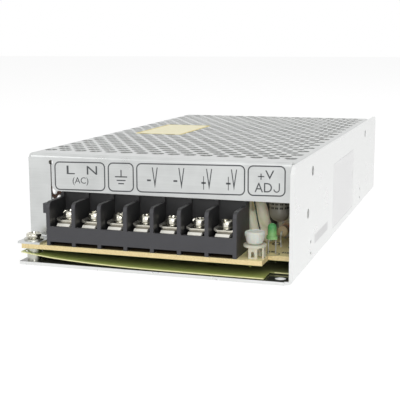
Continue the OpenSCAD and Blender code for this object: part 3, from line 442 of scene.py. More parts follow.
for painted, material in (
        (["circuit_board"], boardFinish()), (["insulating_sheet"], filmFinish()),
        (["terminal_block"], blockFinish()), (["lamp_lens"], lensFinish()),
        (["trimmer_base"], moulded("trimmerNylon", (212, 208, 190), 0.4, 0.3, 0.01, 0.05, under=0.2,
                                   underDepth=0.8 * mm)),
        (["trimmer_knob"], moulded("trimmerKnob", (230, 232, 222), 0.34, 0.3, 0.008, 0.05, under=0.35,
                                   underDepth=1.2 * mm, through=0.15, ior=1.5)),
        (["optocoupler"], moulded("whitePackage", (216, 216, 208), 0.5)),
        (["line_filter_capacitor"], moulded("yellowCase", (214, 178, 66), 0.34, 0.5, 0.01, 0.06)),
        (["thermistor"], moulded("darkDip", (44, 62, 46), 0.35, 0.8, 0.05, 0.12)),
        (["bridge_rectifier", "switch_transistor", "controller_chip", "output_rectifier"],
         moulded("epoxyPackage", (52, 52, 54), 0.55, 0.15, 0.02, 0.08)),
        (["line_choke_core", "transformer_core", "output_choke_core"],
         moulded("ferriteCore", (76, 76, 80), 0.6, 0.3, 0.04, 0.14)),
        (["silicone_bead"], moulded("curedSilicone", (246, 241, 216), 0.38, 1.6, 0.35, 0.05, under=0.25,
                                    underDepth=1.5 * mm)),
        (["transformer_winding"], tapeFinish()), (["line_choke_windings", "output_choke_winding"], copper),
        (["fuse"], ceramicFinish("fuseBody", fuseLook["body"],
                                 [(end, fuseLook["capLong"], fuseLook["cap"])
                                  for end in (fuseLow.y + fuseLook["capLong"] / 2,
                                              fuseHigh.y - fuseLook["capLong"] / 2)])),
        (["output_resistor"], ceramicFinish("resistorBody", resistorLook["body"],
                                            [(resistorMid + spot, resistorLook["bandWide"], tint)
                                             for spot, tint in resistorLook["bands"]]))):
    paint(painted, material)

canLook = {"sleeve": (58, 60, 66), "stripe": (150, 152, 154), "top": (206, 207, 205), "rim": 0.8, "crimp": 1.2,
           "score": 0.22, "roughness": 0.3, "outputTurn": -60, "reservoirTurn": 20}


def canFinish(node, turn):
    # a sleeve with a marked stripe, and a scored metal top
    finish = Finish(node + "Can")
    low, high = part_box(node)
    middle, radius = (low + high) / 2, (high.x - low.x) / 2
    u, v = finish.x - middle.x, finish.y - middle.y
    along = u * math.cos(turn) + v * math.sin(turn)
    across = v * math.cos(turn) - u * math.sin(turn)
    reach = (along * along + across * across) ** 0.5
    top = (finish.z > high.z - canLook["crimp"] * mm) * (reach < radius - canLook["rim"] * mm)
    stripe = (along > radius * 0.8) * (1 - top)
    dash = finish.zigzag(finish.z, 3 * mm).between(1.2 * mm, 2 * mm)
    sign = stripe * dash * (abs(across) < radius * 0.3)
    haze = finish.noise(4 * mm, 2.0, 0.5)
    base = finish.colour(haze, canLook["sleeve"], (*canLook["sleeve"], 1.35))
    for mask, tint in ((stripe, "stripe"), (sign, "sleeve"), (top, "top")):
        base = finish.colour(mask, base, canLook[tint])
    line = canLook["score"] * mm
    score = top * (abs(along) < line).most(abs(across) < line) * (reach < radius * 0.62)
    return finish.shade(base=base, metal=top, rough=canLook["roughness"] + (haze - 0.5) * 0.14,
                        normal=finish.bump(1 - score, 0.25, 0.8, finish.bump(haze, 0.03, 0.3)))


for name in sorted(nodes):
    for kind in ("reservoir", "output"):
        if name.startswith(kind + "_capacitor"):
            paint([name], canFinish(name, math.radians(canLook[kind + "Turn"])))
print("plastics, board, film and inner parts painted")


# meshes made here: each piece rides a body and may stand for a node
def meshFrom(name, shape):
    mesh = bpy.data.meshes.new(name)
    shape.to_mesh(mesh)
    shape.free()
    return mesh


def placed(name, data):
    made = bpy.data.objects.new(name, data)
    bpy.context.scene.collection.objects.link(made)
    return made


def addPiece(name, mesh, body="case", slot=None, stands=None, smooth=False):
    made = placed(name, mesh)
    if smooth:
        mesh.polygons.foreach_set("use_smooth", [True] * len(mesh.polygons))
    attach(made, body)
    if stands:
        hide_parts(stands)


def shapePiece(name, shape, material, *where, **more):
    mesh = meshFrom(name, shape)
    mesh.materials.append(material)
    addPiece(name, mesh, *where, **more)


def settled(holder):
    # the plain mesh that the holder gives; the holder and its modifiers go
    bpy.context.view_layer.update()
    result = bpy.data.meshes.new_from_object(holder.evaluated_get(bpy.context.evaluated_depsgraph_get()))
    holder.modifiers.clear()
    bpy.data.objects.remove(holder)
    return result


def materialOf(node):
    return nodes[node].data.materials[0]


def arc(x, y, radius, degrees):
    return [(x + radius * math.cos(math.radians(a)), y + radius * math.sin(math.radians(a))) for a in degrees]


def roundedLoop(left, right, low, high, radius, steps=8):
    corners = [(right - radius, high - radius, 0), (left + radius, high - radius, 90),
               (left + radius, low + radius, 180), (right - radius, low + radius, 270)]
    return [spot for x, y, start in corners
            for spot in arc(x, y, radius, [start + 90 * i / steps for i in range(steps + 1)])]


def circleLoop(radius, count=48):
    return arc(0, 0, radius, [360 * i / count for i in range(count)])


def barLoop(left, right, low, high):
    return [(right, high), (left, high), (left, low), (right, low)]


def addPrism(shape, outer, inner, place, thick):
    # a closed plate between two outlines of equally many points, or a full one where inner is None
    outerLow, outerHigh, innerLow, innerHigh = [
        [shape.verts.new(place(u, v, lift)) for u, v in points or []]
        for points, lift in ((outer, 0), (outer, thick), (inner, 0), (inner, thick))]
    if not inner:
        shape.faces.new(outerHigh)
        shape.faces.new(outerLow[::-1])
    for i in range(len(outer)):
        j = (i + 1) % len(outer)
        shape.faces.new([outerLow[i], outerLow[j], outerHigh[j], outerHigh[i]])
        if inner:
            shape.faces.new([innerLow[j], innerLow[i], innerHigh[i], innerHigh[j]])
            shape.faces.new([outerHigh[i], outerHigh[j], innerHigh[j], innerHigh[i]])
            shape.faces.new([outerLow[j], outerLow[i], innerLow[i], innerLow[j]])


def addWalls(shape, loops):
    for lower, upper in zip(loops, loops[1:]):
        for i in range(len(lower)):
            j = (i + 1) % len(lower)
            shape.faces.new([lower[i], lower[j], upper[j], upper[i]])


def addTurned(shape, middle, rings, sides, sink=None):
    # a closed turned shape from rings of a radius and a height, with its axis through middle
    loops = []
    for radius, level in rings:
        drops = [(u, v, sink(u, v, level) if sink else 0) for u, v in circleLoop(radius, sides)]
        loops.append([shape.verts.new((middle.x + u * mm, middle.y + v * mm, (level - drop) * mm))
                      for u, v, drop in drops])
    addWalls(shape, loops)
    for loop in (loops[0][::-1], loops[-1]):
        hub = shape.verts.new((middle.x, middle.y, sum(vertex.co.z for vertex in loop) / sides))
        for i in range(sides):
            shape.faces.new([loop[i], loop[(i + 1) % sides], hub])


def addTube(shape, points, radii, sides=10):
    # rings round the points, closed at both ends
    points = [Vector(point) * mm for point in points]
    loops = []
    for i, (point, radius) in enumerate(zip(points, radii)):
        ahead = (points[min(i + 1, len(points) - 1)] - points[max(i - 1, 0)]).normalized()
        turn = Vector((0, 0, 1)).rotation_difference(ahead).to_matrix()
        loops.append([shape.verts.new(point + turn @ Vector((u, v, 0)) * radius * mm)
                      for u, v in circleLoop(1, sides)])
    addWalls(shape, loops)
    shape.faces.new(loops[0][::-1])
    shape.faces.new(loops[-1])


def addRod(shape, points, radius):
    addTube(shape, points, [radius] * len(points))


def addCapsule(shape, start, end, radius, profile, sides):
    # a round body along a straight axis: its profile is shares along the axis and of the radius
    addTube(shape, [Vector(start).lerp(Vector(end), along) for along, wide in profile],
            [radius * wide for along, wide in profile], sides)


def addWords(shape, words, left, right, low, high, place, thick):
    # words stretched to fill the given box
    curve = bpy.data.curves.new("words", "FONT")
    curve.body = words
    curve.extrude = 0.5
    curve.resolution_u = 4
    flat = settled(placed("words", curve))
    us = [vertex.co.x for vertex in flat.vertices]
    vs = [vertex.co.y for vertex in flat.vertices]
    for vertex in flat.vertices:
        u = left + (vertex.co.x - min(us)) / (max(us) - min(us)) * (right - left)
        v = low + (vertex.co.y - min(vs)) / (max(vs) - min(vs)) * (high - low)
        vertex.co = place(u, v, (vertex.co.z + 0.5) * thick)
    shape.from_mesh(flat)
    bpy.data.meshes.remove(flat)


# printed marks on the lip: frames, letters and bars, each by its left, right, low and high
lipPrint = {
    "line": 0.42, "corner": 1.9, "ink": (66, 68, 70), "thick": 0.03, "low": 26.0, "high": 36.1, "tilt": 0.0205,
    "frames": [(-38.4, -19.1), (-18.1, -8.5), (-7.6, 30.7), (31.5, 44.2)],
    "words": [("L", -33.7, -30.6, 31.7, 34.7), ("N", -26.0, -22.1, 31.7, 34.7), ("(AC)", -31.5, -25.5, 27.8, 30.7),
              ("V", -1.9, 0.2, 27.7, 34.7), ("V", 7.6, 9.7, 27.7, 34.7), ("V", 17.3, 19.4, 27.7, 34.6),
              ("V", 25.85, 27.95, 27.7, 34.6), ("V", 37.4, 40.4, 31.6, 34.5), ("AD", 33.9, 39.7, 27.3, 30.4)],
    "earth": [(-13.38, -12.98, 31.2, 33.6), (-15.45, -10.95, 31.0, 31.4), (-14.85, -11.55, 29.75, 30.15),
              (-14.25, -12.15, 28.65, 29.05)],
    "signs": [(-3.7, -2.3, 29.95, 30.55), (5.8, 7.2, 29.95, 30.55), (15.65, 17.2, 29.55, 30.15),
              (16.3, 16.55, 27.6, 32.1), (24.2, 25.75, 29.55, 30.15), (24.85, 25.1, 27.6, 32.1),
              (34.95, 37.1, 32.3, 32.65), (35.85, 36.2, 31.4, 33.45)],
    "hook": {"x": 41.25, "z": 28.35, "outer": 1.05, "inner": 0.7, "high": 30.4}}


def inkFinish(name, ink, size, lighter, contrast=None):
    # worn ink
    finish = Finish(name)
    wear = finish.noise(size * mm, 3.0, 0.7)
    mask = finish.ramp(wear, contrast) if contrast else wear
    more = {"normal": finish.bump(wear, 0.01, 0.3)} if contrast else {}
    return finish.shade(base=finish.colour(mask, ink, (*ink, lighter)),
                        rough=0.5 + (wear - 0.5) * 0.2, **more)


def makeLipPrint():
    # on the cover's foremost upright face above the board
    front = min(round(v.co.y, 6) for v in nodes["mesh_cover"].data.vertices
                if v.co.z > lipPrint["low"] * mm and v.co.x < 40 * mm)

    def place(u, v, lift):
        # the screened print sits very slightly askew
        return Vector((u * mm, front - lift * mm, (v + lipPrint["tilt"] * u) * mm))

    shape = bmesh.new()
    line, thick, corner = lipPrint["line"], lipPrint["thick"], lipPrint["corner"]
    low, high = lipPrint["low"], lipPrint["high"]
    for left, right in lipPrint["frames"]:
        addPrism(shape, roundedLoop(left, right, low, high, corner),
                 roundedLoop(left + line, right - line, low + line, high - line, corner - line), place, thick)
    for bar in lipPrint["earth"] + lipPrint["signs"]:
        addPrism(shape, barLoop(*bar), None, place, thick)
    for words, *box in lipPrint["words"]:
        addWords(shape, words, *box, place, thick)
    hook = lipPrint["hook"]
    outer, inner = [arc(hook["x"], hook["z"], radius, range(180, 361, 20)) + [(hook["x"] + radius, hook["high"])]
                    for radius in (hook["outer"], hook["inner"])]
    addPrism(shape, outer + inner[::-1], None, place, thick)
    shapePiece("lipPrint", shape, inkFinish("screenInk", lipPrint["ink"], 0.4, 1.5, [(0.4, 0.0), (0.75, 1.0)]))


makeLipPrint()
print("lip print made")

# bare sticker on the mesh
sticker = {"across": (-38.0, -17.0), "along": (-16.5, 25.5), "thick": 0.02, "corner": 0.8, "border": 1.2,
           "paper": (250, 243, 204), "edge": (226, 206, 110)}


def makeSticker():
    finish = Finish("stickerPaper")
    mottle = finish.noise(2.5 * mm)
    inside = boxMask(finish.x, finish.y, sticker["across"], sticker["along"], sticker["border"])
    paper = finish.shades(mottle, (*sticker["paper"], 0.94), sticker["paper"])
    material = finish.shade(base=finish.colour(inside, sticker["edge"], paper),
                            rough=0.45 + (mottle - 0.5) * 0.1, normal=finish.bump(mottle, 0.02, 0.4))
    top = cadBox[1].z
    shape = bmesh.new()
    addPrism(shape, roundedLoop(*sticker["across"], *sticker["along"], sticker["corner"], 4), None,
             lambda u, v, lift: Vector((u * mm, v * mm, top + lift * mm)), sticker["thick"])
    shapePiece("topSticker", shape, material)


makeSticker()
print("sticker made")

# trimmer base: a round flange on three legs, each with a small arched window
trimmerBase = {"flange": 7.6, "flangeThick": 0.85, "legWide": 2.9, "legThick": 0.6,
               "legs": [(0, 2.3), (90, 2.7), (180, 2.3)], "window": 1.1, "windowLow": 0.5, "windowHigh": 2.4,
               "post": 3.7, "postHigh": 1.0, "bore": 3.2}


def legLoops(steps=8):
    # a leg's outline and its window's, both with the same number of points
    half, sill = trimmerBase["window"] / 2, trimmerBase["windowLow"]
    arch = arc(0, trimmerBase["windowHigh"] - half, half, [180 * i / steps for i in range(steps + 1)])
    arch += [(-half, sill), (half, sill)]
    wide = trimmerBase["legWide"] / 2

    def leg(high):
        return [(wide - 2 * wide * i / steps, high) for i in range(steps + 1)] + [(-wide, 0), (wide, 0)]
    return leg, arch


def makeTrimmerBase():
    low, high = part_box("trimmer_base")
    middle = (low + high) / 2
    base = Matrix.Translation((middle.x, middle.y, 0))
    flat, bore, rim = trimmerBase["flangeThick"], trimmerBase["bore"] / 2, trimmerBase["flange"] / 2
    flangeLow = high.z - flat * mm
    legHigh = (flangeLow - low.z) / mm
    post = trimmerBase["postHigh"]
    shape = bmesh.new()
    # the flange in three steps that soften its rim, and the post under it
    for outer, start, thick in ((rim - 0.12, 0, flat * 0.2), (rim, flat * 0.2, flat * 0.6),
                                (rim - 0.15, flat * 0.8, flat * 0.2), (trimmerBase["post"] / 2, -post, post)):
        addPrism(shape, circleLoop(outer), circleLoop(bore), lambda u, v, lift, start=start:
                 base @ Vector((u * mm, v * mm, flangeLow + (start + lift) * mm)), thick)
    leg, arch = legLoops()
    for turn, reach in trimmerBase["legs"]:
        spin = base @ Matrix.Rotation(math.radians(turn), 4, "Z")
        addPrism(shape, leg(legHigh), arch, lambda u, v, lift, spin=spin, reach=reach:
                 spin @ Vector((u * mm, -(reach + lift) * mm, low.z + v * mm)), trimmerBase["legThick"])
    shapePiece("trimmerHousing", shape, materialOf("trimmer_base"), "case", "white_plastic", "trimmer_base")


makeTrimmerBase()
print("trimmer base made")


# terminal and tab screws: domed heads, driver recess, washers and thread grooves
def crossSink(turn, reach):
    # how far a driver's cross and slot go down at a place on the head
    def sink(u, v):
        a = u * math.cos(turn) + v * math.sin(turn)
        b = v * math.cos(turn) - u * math.sin(turn)
        far = math.hypot(a, b) / reach
        if min(abs(a), abs(b)) < screwLook["cross"] / 2 and far < 0.62:
            return screwLook["recess"] * (1 - 0.4 * far)
        return screwLook["recess"] * 0.55 if abs(b) < screwLook["slot"] / 2 and far < 1.02 else 0
    return sink


def headRings(radius, low, high):
    # a pan head with a full round shoulder, closed by close rings for the recess
    height = high - low
    side = [(radius - 0.2, low), (radius, low + 0.18), (radius, low + height * 0.34)]
    crown = [(radius - (1 - math.cos(math.radians(a))) * radius * 0.34,
              low + height * (0.34 + 0.6 * math.sin(math.radians(a)))) for a in range(15, 91, 15)]
    last = crown[-1][0]
    flat = [(last * (1 - k / 9), high - 0.06 * height * (1 - k / 9) ** 2) for k in range(1, 9)]
    return side + crown + flat


def makeScrew(node, body, headHigh, collar, material):
    low, high = boxOf(node)
    middle = (low + high) / 2 * mm
    radius = (high.x - low.x) / 2
    headLow = high.z - headHigh
    shank, pitch, sides = screwLook["shank"], screwLook["pitch"], screwLook["sides"]
    shape = bmesh.new()
    sink = crossSink(math.radians(37 * int(node[-1])) if node[-1].isdigit() else 0.6, radius * 0.9)
    addTurned(shape, middle, headRings(radius, headLow, high.z), sides,
              lambda u, v, level: sink(u, v) if level > headLow + headHigh * 0.7 else 0)
    # thread grooves, then the collar with a split spring washer under the head
    rings = [(shank - 0.4, low.z), (shank, low.z + 0.5)]
    level = low.z + 0.5
    while level + pitch < headLow - collar:
        rings += [(shank - screwLook["threadDepth"], level + pitch / 2), (shank, level + pitch)]
        level += pitch
    wide = radius - 0.55
    rings += [(shank, headLow - collar)]
    rings += [(wide + grow, headLow - collar * share)
              for grow, share in ((0, 1), (0.08, 0.55), (-0.25, 0.5), (0.08, 0.45))]
    rings += [(wide, headLow - 0.02), (wide - 0.4, headLow)]
    addTurned(shape, middle, rings, sides)
    shapePiece(node + "Detail", shape, material, body, "zinc_steel", node)


for i in range(1, ways + 1):
    makeScrew(f"terminal_screw_{i}", f"screw_{i}", screwLook["head"], screwLook["collar"], platedSteel)
makeScrew("tab_screw", "case", screwLook["tabHead"], screwLook["tabCollar"], materialOf("tab_screw"))
print("screws made")

# trimmer knob: frosted drum that narrows downwards, with a slot and fine grip ribs
knobLook = {"top": 3.35, "foot": 2.65, "shaft": 1.45, "ribs": 24, "ribDepth": 0.025, "slot": 0.9, "slotDepth": 0.8,
            "slotTurn": 0.5, "lift": 0.2, "sides": 96}


def makeKnob():
    low, high = boxOf("trimmer_knob")
    middle = (low + high) / 2 * mm
    drumLow = boxOf("trimmer_base")[1].z + knobLook["lift"]
    tall = high.z - drumLow
    top, foot, turn = knobLook["top"], knobLook["foot"], knobLook["slotTurn"]

    def groove(u, v, level):
        inSlot = abs(u * math.sin(turn) - v * math.cos(turn)) < knobLook["slot"] / 2
        return knobLook["slotDepth"] if inSlot and level > high.z - 0.9 else 0

    rings = [(knobLook["shaft"], low.z), (knobLook["shaft"], drumLow), (foot - 0.3, drumLow),
             (foot, drumLow + 0.25)]
    rings += [(foot + (top - foot) * (k / 8) ** 0.8, drumLow + 0.25 + (tall - 0.95) * k / 8) for k in range(1, 9)]
    rings += [(top - inset, high.z - drop)
              for inset, drop in ((0, 0.45), (0.3, 0.1), (0.6, 0), (0.75, 0.25), (0.9, 0.35))]
    rings += [((top - 0.9) * (1 - k / 8), high.z - 0.35) for k in range(1, 8)]
    shape = bmesh.new()
    addTurned(shape, middle, rings, knobLook["sides"], groove)
    # grip ribs round the drum
    for vertex in shape.verts:
        u, v = vertex.co.x - middle.x, vertex.co.y - middle.y
        if math.hypot(u, v) > (foot - 0.1) * mm and vertex.co.z < (high.z - 0.3) * mm:
            pull = 1 - knobLook["ribDepth"] * (0.5 + 0.5 * math.cos(knobLook["ribs"] * math.atan2(v, u)))
            vertex.co.x, vertex.co.y = middle.x + u * pull, middle.y + v * pull
    shapePiece("trimmerKnobDetail", shape, materialOf("trimmer_knob"), "trimmer", "white_plastic", "trimmer_knob")


makeKnob()
print("trimmer knob made")

# folds of silicone adhesive behind the trimmer, each a centre, three radii and a lean, and a lead between them
adhesive = {"voxel": 0.45, "smooth": 6,
            "lumps": [((28.6, -66.5, 11.0), (5.4, 6.8, 6.6), 0), ((27.6, -73.0, 16.4), (2.1, 2.6, 7.6), 10),
                      ((32.4, -74.5, 19.6), (2.1, 2.8, 7.0), 18), ((30.0, -76.6, 14.2), (2.1, 2.4, 6.6), 20),
                      ((33.6, -72.0, 12.0), (2.2, 3.4, 5.4), 12), ((38.4, -61.6, 10.4), (3.4, 2.8, 4.4), 0)],
            "lead": 0.22, "route": [(31.2, -79.2, 23.0), (31.46, -79.3, 21.6), (31.9, -79.3, 19.0),
                                    (32.45, -79.3, 16.3), (33.1, -79.1, 13.3), (33.5, -78.6, 10.4)]}


def makeAdhesive():
    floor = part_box("silicone_bead")[0].z

    def flatten(shape):
        for vertex in shape.verts:
            vertex.co.z = max(vertex.co.z, floor)

    shape = bmesh.new()
    for centre, radii, lean in adhesive["lumps"]:
        lump = Matrix.Translation(Vector(centre) * mm) @ Matrix.Rotation(math.radians(-lean), 4, "Y") \
            @ Matrix.Diagonal((*[size * mm for size in radii], 1))
        bmesh.ops.create_icosphere(shape, subdivisions=4, radius=1.0, matrix=lump)
    flatten(shape)
    holder = placed("adhesiveStart", meshFrom("adhesiveStart", shape))
    remesh = holder.modifiers.new("skin", "REMESH")
    remesh.mode = "VOXEL"
    remesh.voxel_size = adhesive["voxel"] * mm
    soften = holder.modifiers.new("soften", "SMOOTH")
    soften.factor = 0.5
    soften.iterations = adhesive["smooth"]
    result = settled(holder)
    shape = bmesh.new()
    shape.from_mesh(result)
    bpy.data.meshes.remove(result)
    flatten(shape)
    shapePiece("siliconeFolds", shape, materialOf("silicone_bead"), "case", "silicone", "silicone_bead", True)
    lead = bmesh.new()
    addRod(lead, adhesive["route"] + [(*adhesive["route"][-1][:2], floor / mm - 0.3)], adhesive["lead"])
    shapePiece("buriedLead", lead, materialOf("thermistor"), "case", "dark_coating")


makeAdhesive()
print("adhesive made")

# a small leaning capacitor and the resistor raised on its leads
leaning = {"foot": (36.8, -64.5, 13.4), "head": (35.2, -61.5, 26.8), "radius": 3.5, "lead": 0.3,
           "sleeve": (186, 184, 174), "mark": (66, 66, 64), "rows": [(18.2, 18.9), (19.6, 20.2)],
           "crimp": [(0.9, 1.0), (0.94, 0.96), (0.95, 0.88), (0.965, 0.94), (0.99, 0.93), (1.0, 0.86)],
           "leads": [(0.9, 0, 0.1, 0.6), (1.0, 0.3, -0.1, -2), (1.1, 0.8, -0.1, -4.5)]}
raised = {"x": 40.2, "front": -76.5, "back": -65.5, "z": 12.4, "radius": 1.9, "lead": 0.35,
          "profile": [(0.0, 0.55), (0.02, 0.8), (0.06, 0.98), (0.2, 1.0), (0.26, 0.9), (0.74, 0.9), (0.8, 1.0),
                      (0.94, 0.98), (0.98, 0.8), (1.0, 0.55)]}
boardTop = boxOf("circuit_board")[1].z


def makeLeaning():
    finish = Finish("greySleeve")
    cloud = finish.noise(3 * mm)
    dash = finish.zigzag(finish.x, 0.8 * mm).between(0.25 * mm, 0.75 * mm)
    upper, lower = [dash * finish.z.between(low * mm, high * mm) for low, high in leaning["rows"]]
    base = finish.colour(cloud, [value - 14 for value in leaning["sleeve"]], leaning["sleeve"])
    base = finish.colour(upper.most(lower), base, leaning["mark"])
    material = finish.shade(base=base, rough=0.34 + (cloud - 0.5) * 0.2, normal=finish.bump(cloud, 0.06, 0.4))
    shape = bmesh.new()
    dome = [(0.22 * (1 - math.cos(math.radians(a))), math.sin(math.radians(a))) for a in range(10, 91, 10)]
    addCapsule(shape, leaning["foot"], leaning["head"], leaning["radius"], dome + leaning["crimp"], 40)
    shapePiece("leaningCapacitor", shape, material, "case", "capacitor_sleeve", smooth=True)
    leads = bmesh.new()
    x, y, z = leaning["foot"]
    for side in (-1, 1):
        route = [(x + side * apart + right, y + back, z + up) for apart, right, back, up in leaning["leads"]]
        addRod(leads, route + [(x + side * 1.1 + 0.9, y, boardTop - 0.4)], leaning["lead"])
    shapePiece("leaningLeads", leads, materialOf("lamp_leads"), "case", "spring_steel")


def makeRaised():
    shape, leads = bmesh.new(), bmesh.new()
    x, z = raised["x"], raised["z"]
    addCapsule(shape, (x, raised["front"], z), (x, raised["back"], z), raised["radius"], raised["profile"], 32)
    shapePiece("raisedResistor", shape, materialOf("output_resistor"), "case", "ceramic_body", "output_resistor",
               True)
    for end, side in ((raised["front"], -1), (raised["back"], 1)):
        addRod(leads, [(x, end + side * out, level) for out, level in (
            (-0.4, z), (0.7, z), (1.1, z - 0.3), (1.3, z - 0.9), (1.3, boardTop - 0.4))], raised["lead"])
    shapePiece("resistorLeads", leads, materialOf("lamp_leads"), "case", "spring_steel")


makeLeaning()
makeRaised()
print("leaning capacitor and raised resistor made")

# printed outlines on the board, dashes along its cut corner, and ovals round spare holes
boardPrint = {"line": 0.3, "thick": 0.02, "ink": (44, 38, 28), "corner": 0.6,
              "round": ("output_capacitor", "reservoir_capacitor", "lamp_lens"), "roundMargin": 0.7,
              "square": ("fuse", "thermistor", "bridge_rectifier", "controller_chip", "optocoupler"),
              "squareMargin": 1.0, "dashHigh": 1.9,
              "dashes": [(37.4, 38.2), (38.6, 39.8), (40.0, 40.3), (42.4, 43.0), (43.3, 43.7), (44.0, 45.4)],
              "ovals": [(1.5, 37.6, -73.4), (0.9, 43.6, -77.5)], "ovalLine": 0.55, "ovalLong": 1.6}


def makeBoardPrint():
    line, thick = boardPrint["line"], boardPrint["thick"]
    shape = bmesh.new()

    def place(u, v, lift):
        return Vector((u * mm, v * mm, (boardTop + lift) * mm))

    def oval(x, y, radius, wide, long=1.0, count=48):
        outer, inner = [[(x + u, y + long * v) for u, v in circleLoop(size, count)]
                        for size in (radius, radius - wide)]
        addPrism(shape, outer, inner, place, thick)

    for node in nodes:
        low, high = boxOf(node)
        if node.startswith(boardPrint["round"]):
            oval(*((low + high) / 2).xy, (high.x - low.x) / 2 + boardPrint["roundMargin"], line)
        elif node in boardPrint["square"]:
            outer, inner = [roundedLoop(low.x - grow, high.x + grow, low.y - grow, high.y + grow, corner, 3)
                            for grow, corner in ((boardPrint["squareMargin"], boardPrint["corner"]),
                                                 (boardPrint["squareMargin"] - line, boardPrint["corner"] - line))]
            addPrism(shape, outer, inner, place, thick)
    edge = boxOf("lamp_lens")[1].y
    for left, right in boardPrint["dashes"]:
        addPrism(shape, barLoop(left, right, edge, edge + boardPrint["dashHigh"]), None, place, thick)
    for radius, x, y in boardPrint["ovals"]:
        oval(x, y, radius, boardPrint["ovalLine"], boardPrint["ovalLong"], 24)
    shapePiece("boardPrint", shape, inkFinish("boardInk", boardPrint["ink"], 0.5, 1.7))


makeBoardPrint()
print("board print made")


# repeated parts from Geometry Nodes
class GeometryTree(Tree):
    # a geometry tree with a named input for each of the given values
    def __init__(self, name, values):
        super().__init__(bpy.data.node_groups.new(name, "GeometryNodeTree"))
        self.values = values
        sockets = self.tree.interface
        sockets.new_socket("Geometry", in_out="INPUT", socket_type="NodeSocketGeometry")
        for label, value in values.items():
            kind = {float: "Float", int: "Int", tuple: "Vector"}[type(value)]
            sockets.new_socket(label, in_out="INPUT", socket_type="NodeSocket" + kind).default_value = value
        sockets.new_socket("Geometry", in_out="OUTPUT", socket_type="NodeSocketGeometry")
        start = self.node("NodeGroupInput")
        self.inputs = {item.name: start.beside(item.name) for item in start.socket.node.outputs if item.name}

    def close(self, geometry, material):
        real = self.node("GeometryNodeRealizeInstances", {}, {0: geometry})
        done = self.node("GeometryNodeSetMaterial", {}, {"Geometry": real, "Material": material})
        self.node("NodeGroupOutput", {}, {0: done})
        return self


def grow(name, points, build, slot, stands=None):
    # runs the tree on starting points and keeps the plain result
    shape = bmesh.new()
    for point in points:
        shape.verts.new(point)
    holder = placed(name + "Start", meshFrom(name + "Start", shape))
    modifier = holder.modifiers.new("grow", "NODES")
    modifier.node_group = build.tree
    spots = {item.name: item.identifier for item in build.tree.interface.items_tree if item.in_out == "INPUT"}
    for label, value in build.values.items():
        modifier[spots[label]] = value
    result = settled(holder)
    result.name = name
    addPiece(name, result, "case", slot, stands)


solderLook = {"radius": 0.95, "tip": 0.3, "height": 1.15, "sides": 14, "sizes": (0.82, 1.05), "seed": 7,
              "twoLeads": ("output_capacitor", "reservoir_capacitor", "line_filter", "thermistor", "lamp_lens")}


def solderTree():
    build = GeometryTree("solderJoints", {"Radius": solderLook["radius"] * mm, "Tip": solderLook["tip"] * mm,
                                          "Height": solderLook["height"] * mm, "Sides": solderLook["sides"],
                                          "Seed": solderLook["seed"]})
    given = build.inputs
    cone = build.node("GeometryNodeMeshCone", {}, {"Vertices": given["Sides"], "Side Segments": 3,
                                                   "Radius Top": given["Radius"], "Radius Bottom": given["Tip"],
                                                   "Depth": given["Height"]})
    size = build.node("FunctionNodeRandomValue", {"data_type": "FLOAT"},
                      {2: solderLook["sizes"][0], 3: solderLook["sizes"][1], "Seed": given["Seed"]}, 1)
    points = build.node("GeometryNodeInstanceOnPoints", {}, {"Points": given["Geometry"], "Instance": cone,
                                                             "Scale": size})
    return build.close(points, bareMetal("solderTin", (196, 196, 192), 0.24))


def solderSpots(low):
    # where the leads and pins come through the board
    spots = []
    for name in sorted(nodes):
        corner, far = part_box(name)
        middle, size = (corner + far) / 2, far - corner
        if name.startswith("terminal_contact"):
            pin = [v.co for v in nodes[name].data.vertices if v.co.z < low + 1.5 * mm]
            spots.append((sum(v.x for v in pin) / len(pin), sum(v.y for v in pin) / len(pin)))
        elif name.startswith(solderLook["twoLeads"]):
            spread = 1.27 * mm if name.startswith("lamp") else size.x * 0.25
            spots += [(middle.x - spread, middle.y), (middle.x + spread, middle.y)]
        elif name.startswith(("output_resistor", "fuse_clips")):
            spots += [(middle.x, corner.y + 1.5 * mm), (middle.x, far.y - 1.5 * mm)]
        elif name == "transformer_core":
            spots += [(middle.x + side * size.x * 0.38, corner.y + size.y * (0.16 + 0.17 * k))
                      for side in (-1, 1) for k in range(5)]
        elif name == "trimmer_base":
            spots += [(middle.x + u * mm, middle.y + v * mm) for u, v in ((-2.2, 1.0), (2.2, 1.0), (-0.8, -2.6))]
    return spots


def makeSolder():
    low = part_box("circuit_board")[0].z
    spots = solderSpots(low)
    grow("solderJoints", [(x, y, low - solderLook["height"] * mm) for x, y in spots], solderTree(), "zinc_steel")
    print("solder joints:", len(spots))


makeSolder()

coilLook = {"wire": 0.95, "pitch": 1.0, "corner": 2.2, "sides": 8}


def coilTree(values):
    build = GeometryTree("coilTurns", values)
    given = build.inputs
    loop = build.node("GeometryNodeCurvePrimitiveQuadrilateral", {}, {"Width": given["Width"],
                                                                      "Height": given["Length"]})
    soft = build.node("GeometryNodeFilletCurve", {"mode": "POLY"}, {"Curve": loop, "Radius": given["Corner"],
                                                                    "Count": 5})
    section = build.node("GeometryNodeCurvePrimitiveCircle", {}, {"Resolution": given["Sides"],
                                                                  "Radius": given["Wire"] * 0.5})
    wire = build.node("GeometryNodeCurveToMesh", {}, {"Curve": soft, "Profile Curve": section})
    stack = build.node("GeometryNodeMeshLine", {}, {"Count": given["Turns"], "Offset": given["Pitch"]})
    turns = build.node("GeometryNodeInstanceOnPoints", {}, {"Points": stack, "Instance": wire})
    places = build.node("GeometryNodeInstanceOnPoints", {}, {"Points": given["Geometry"], "Instance": turns})
    return build.close(places, copper)


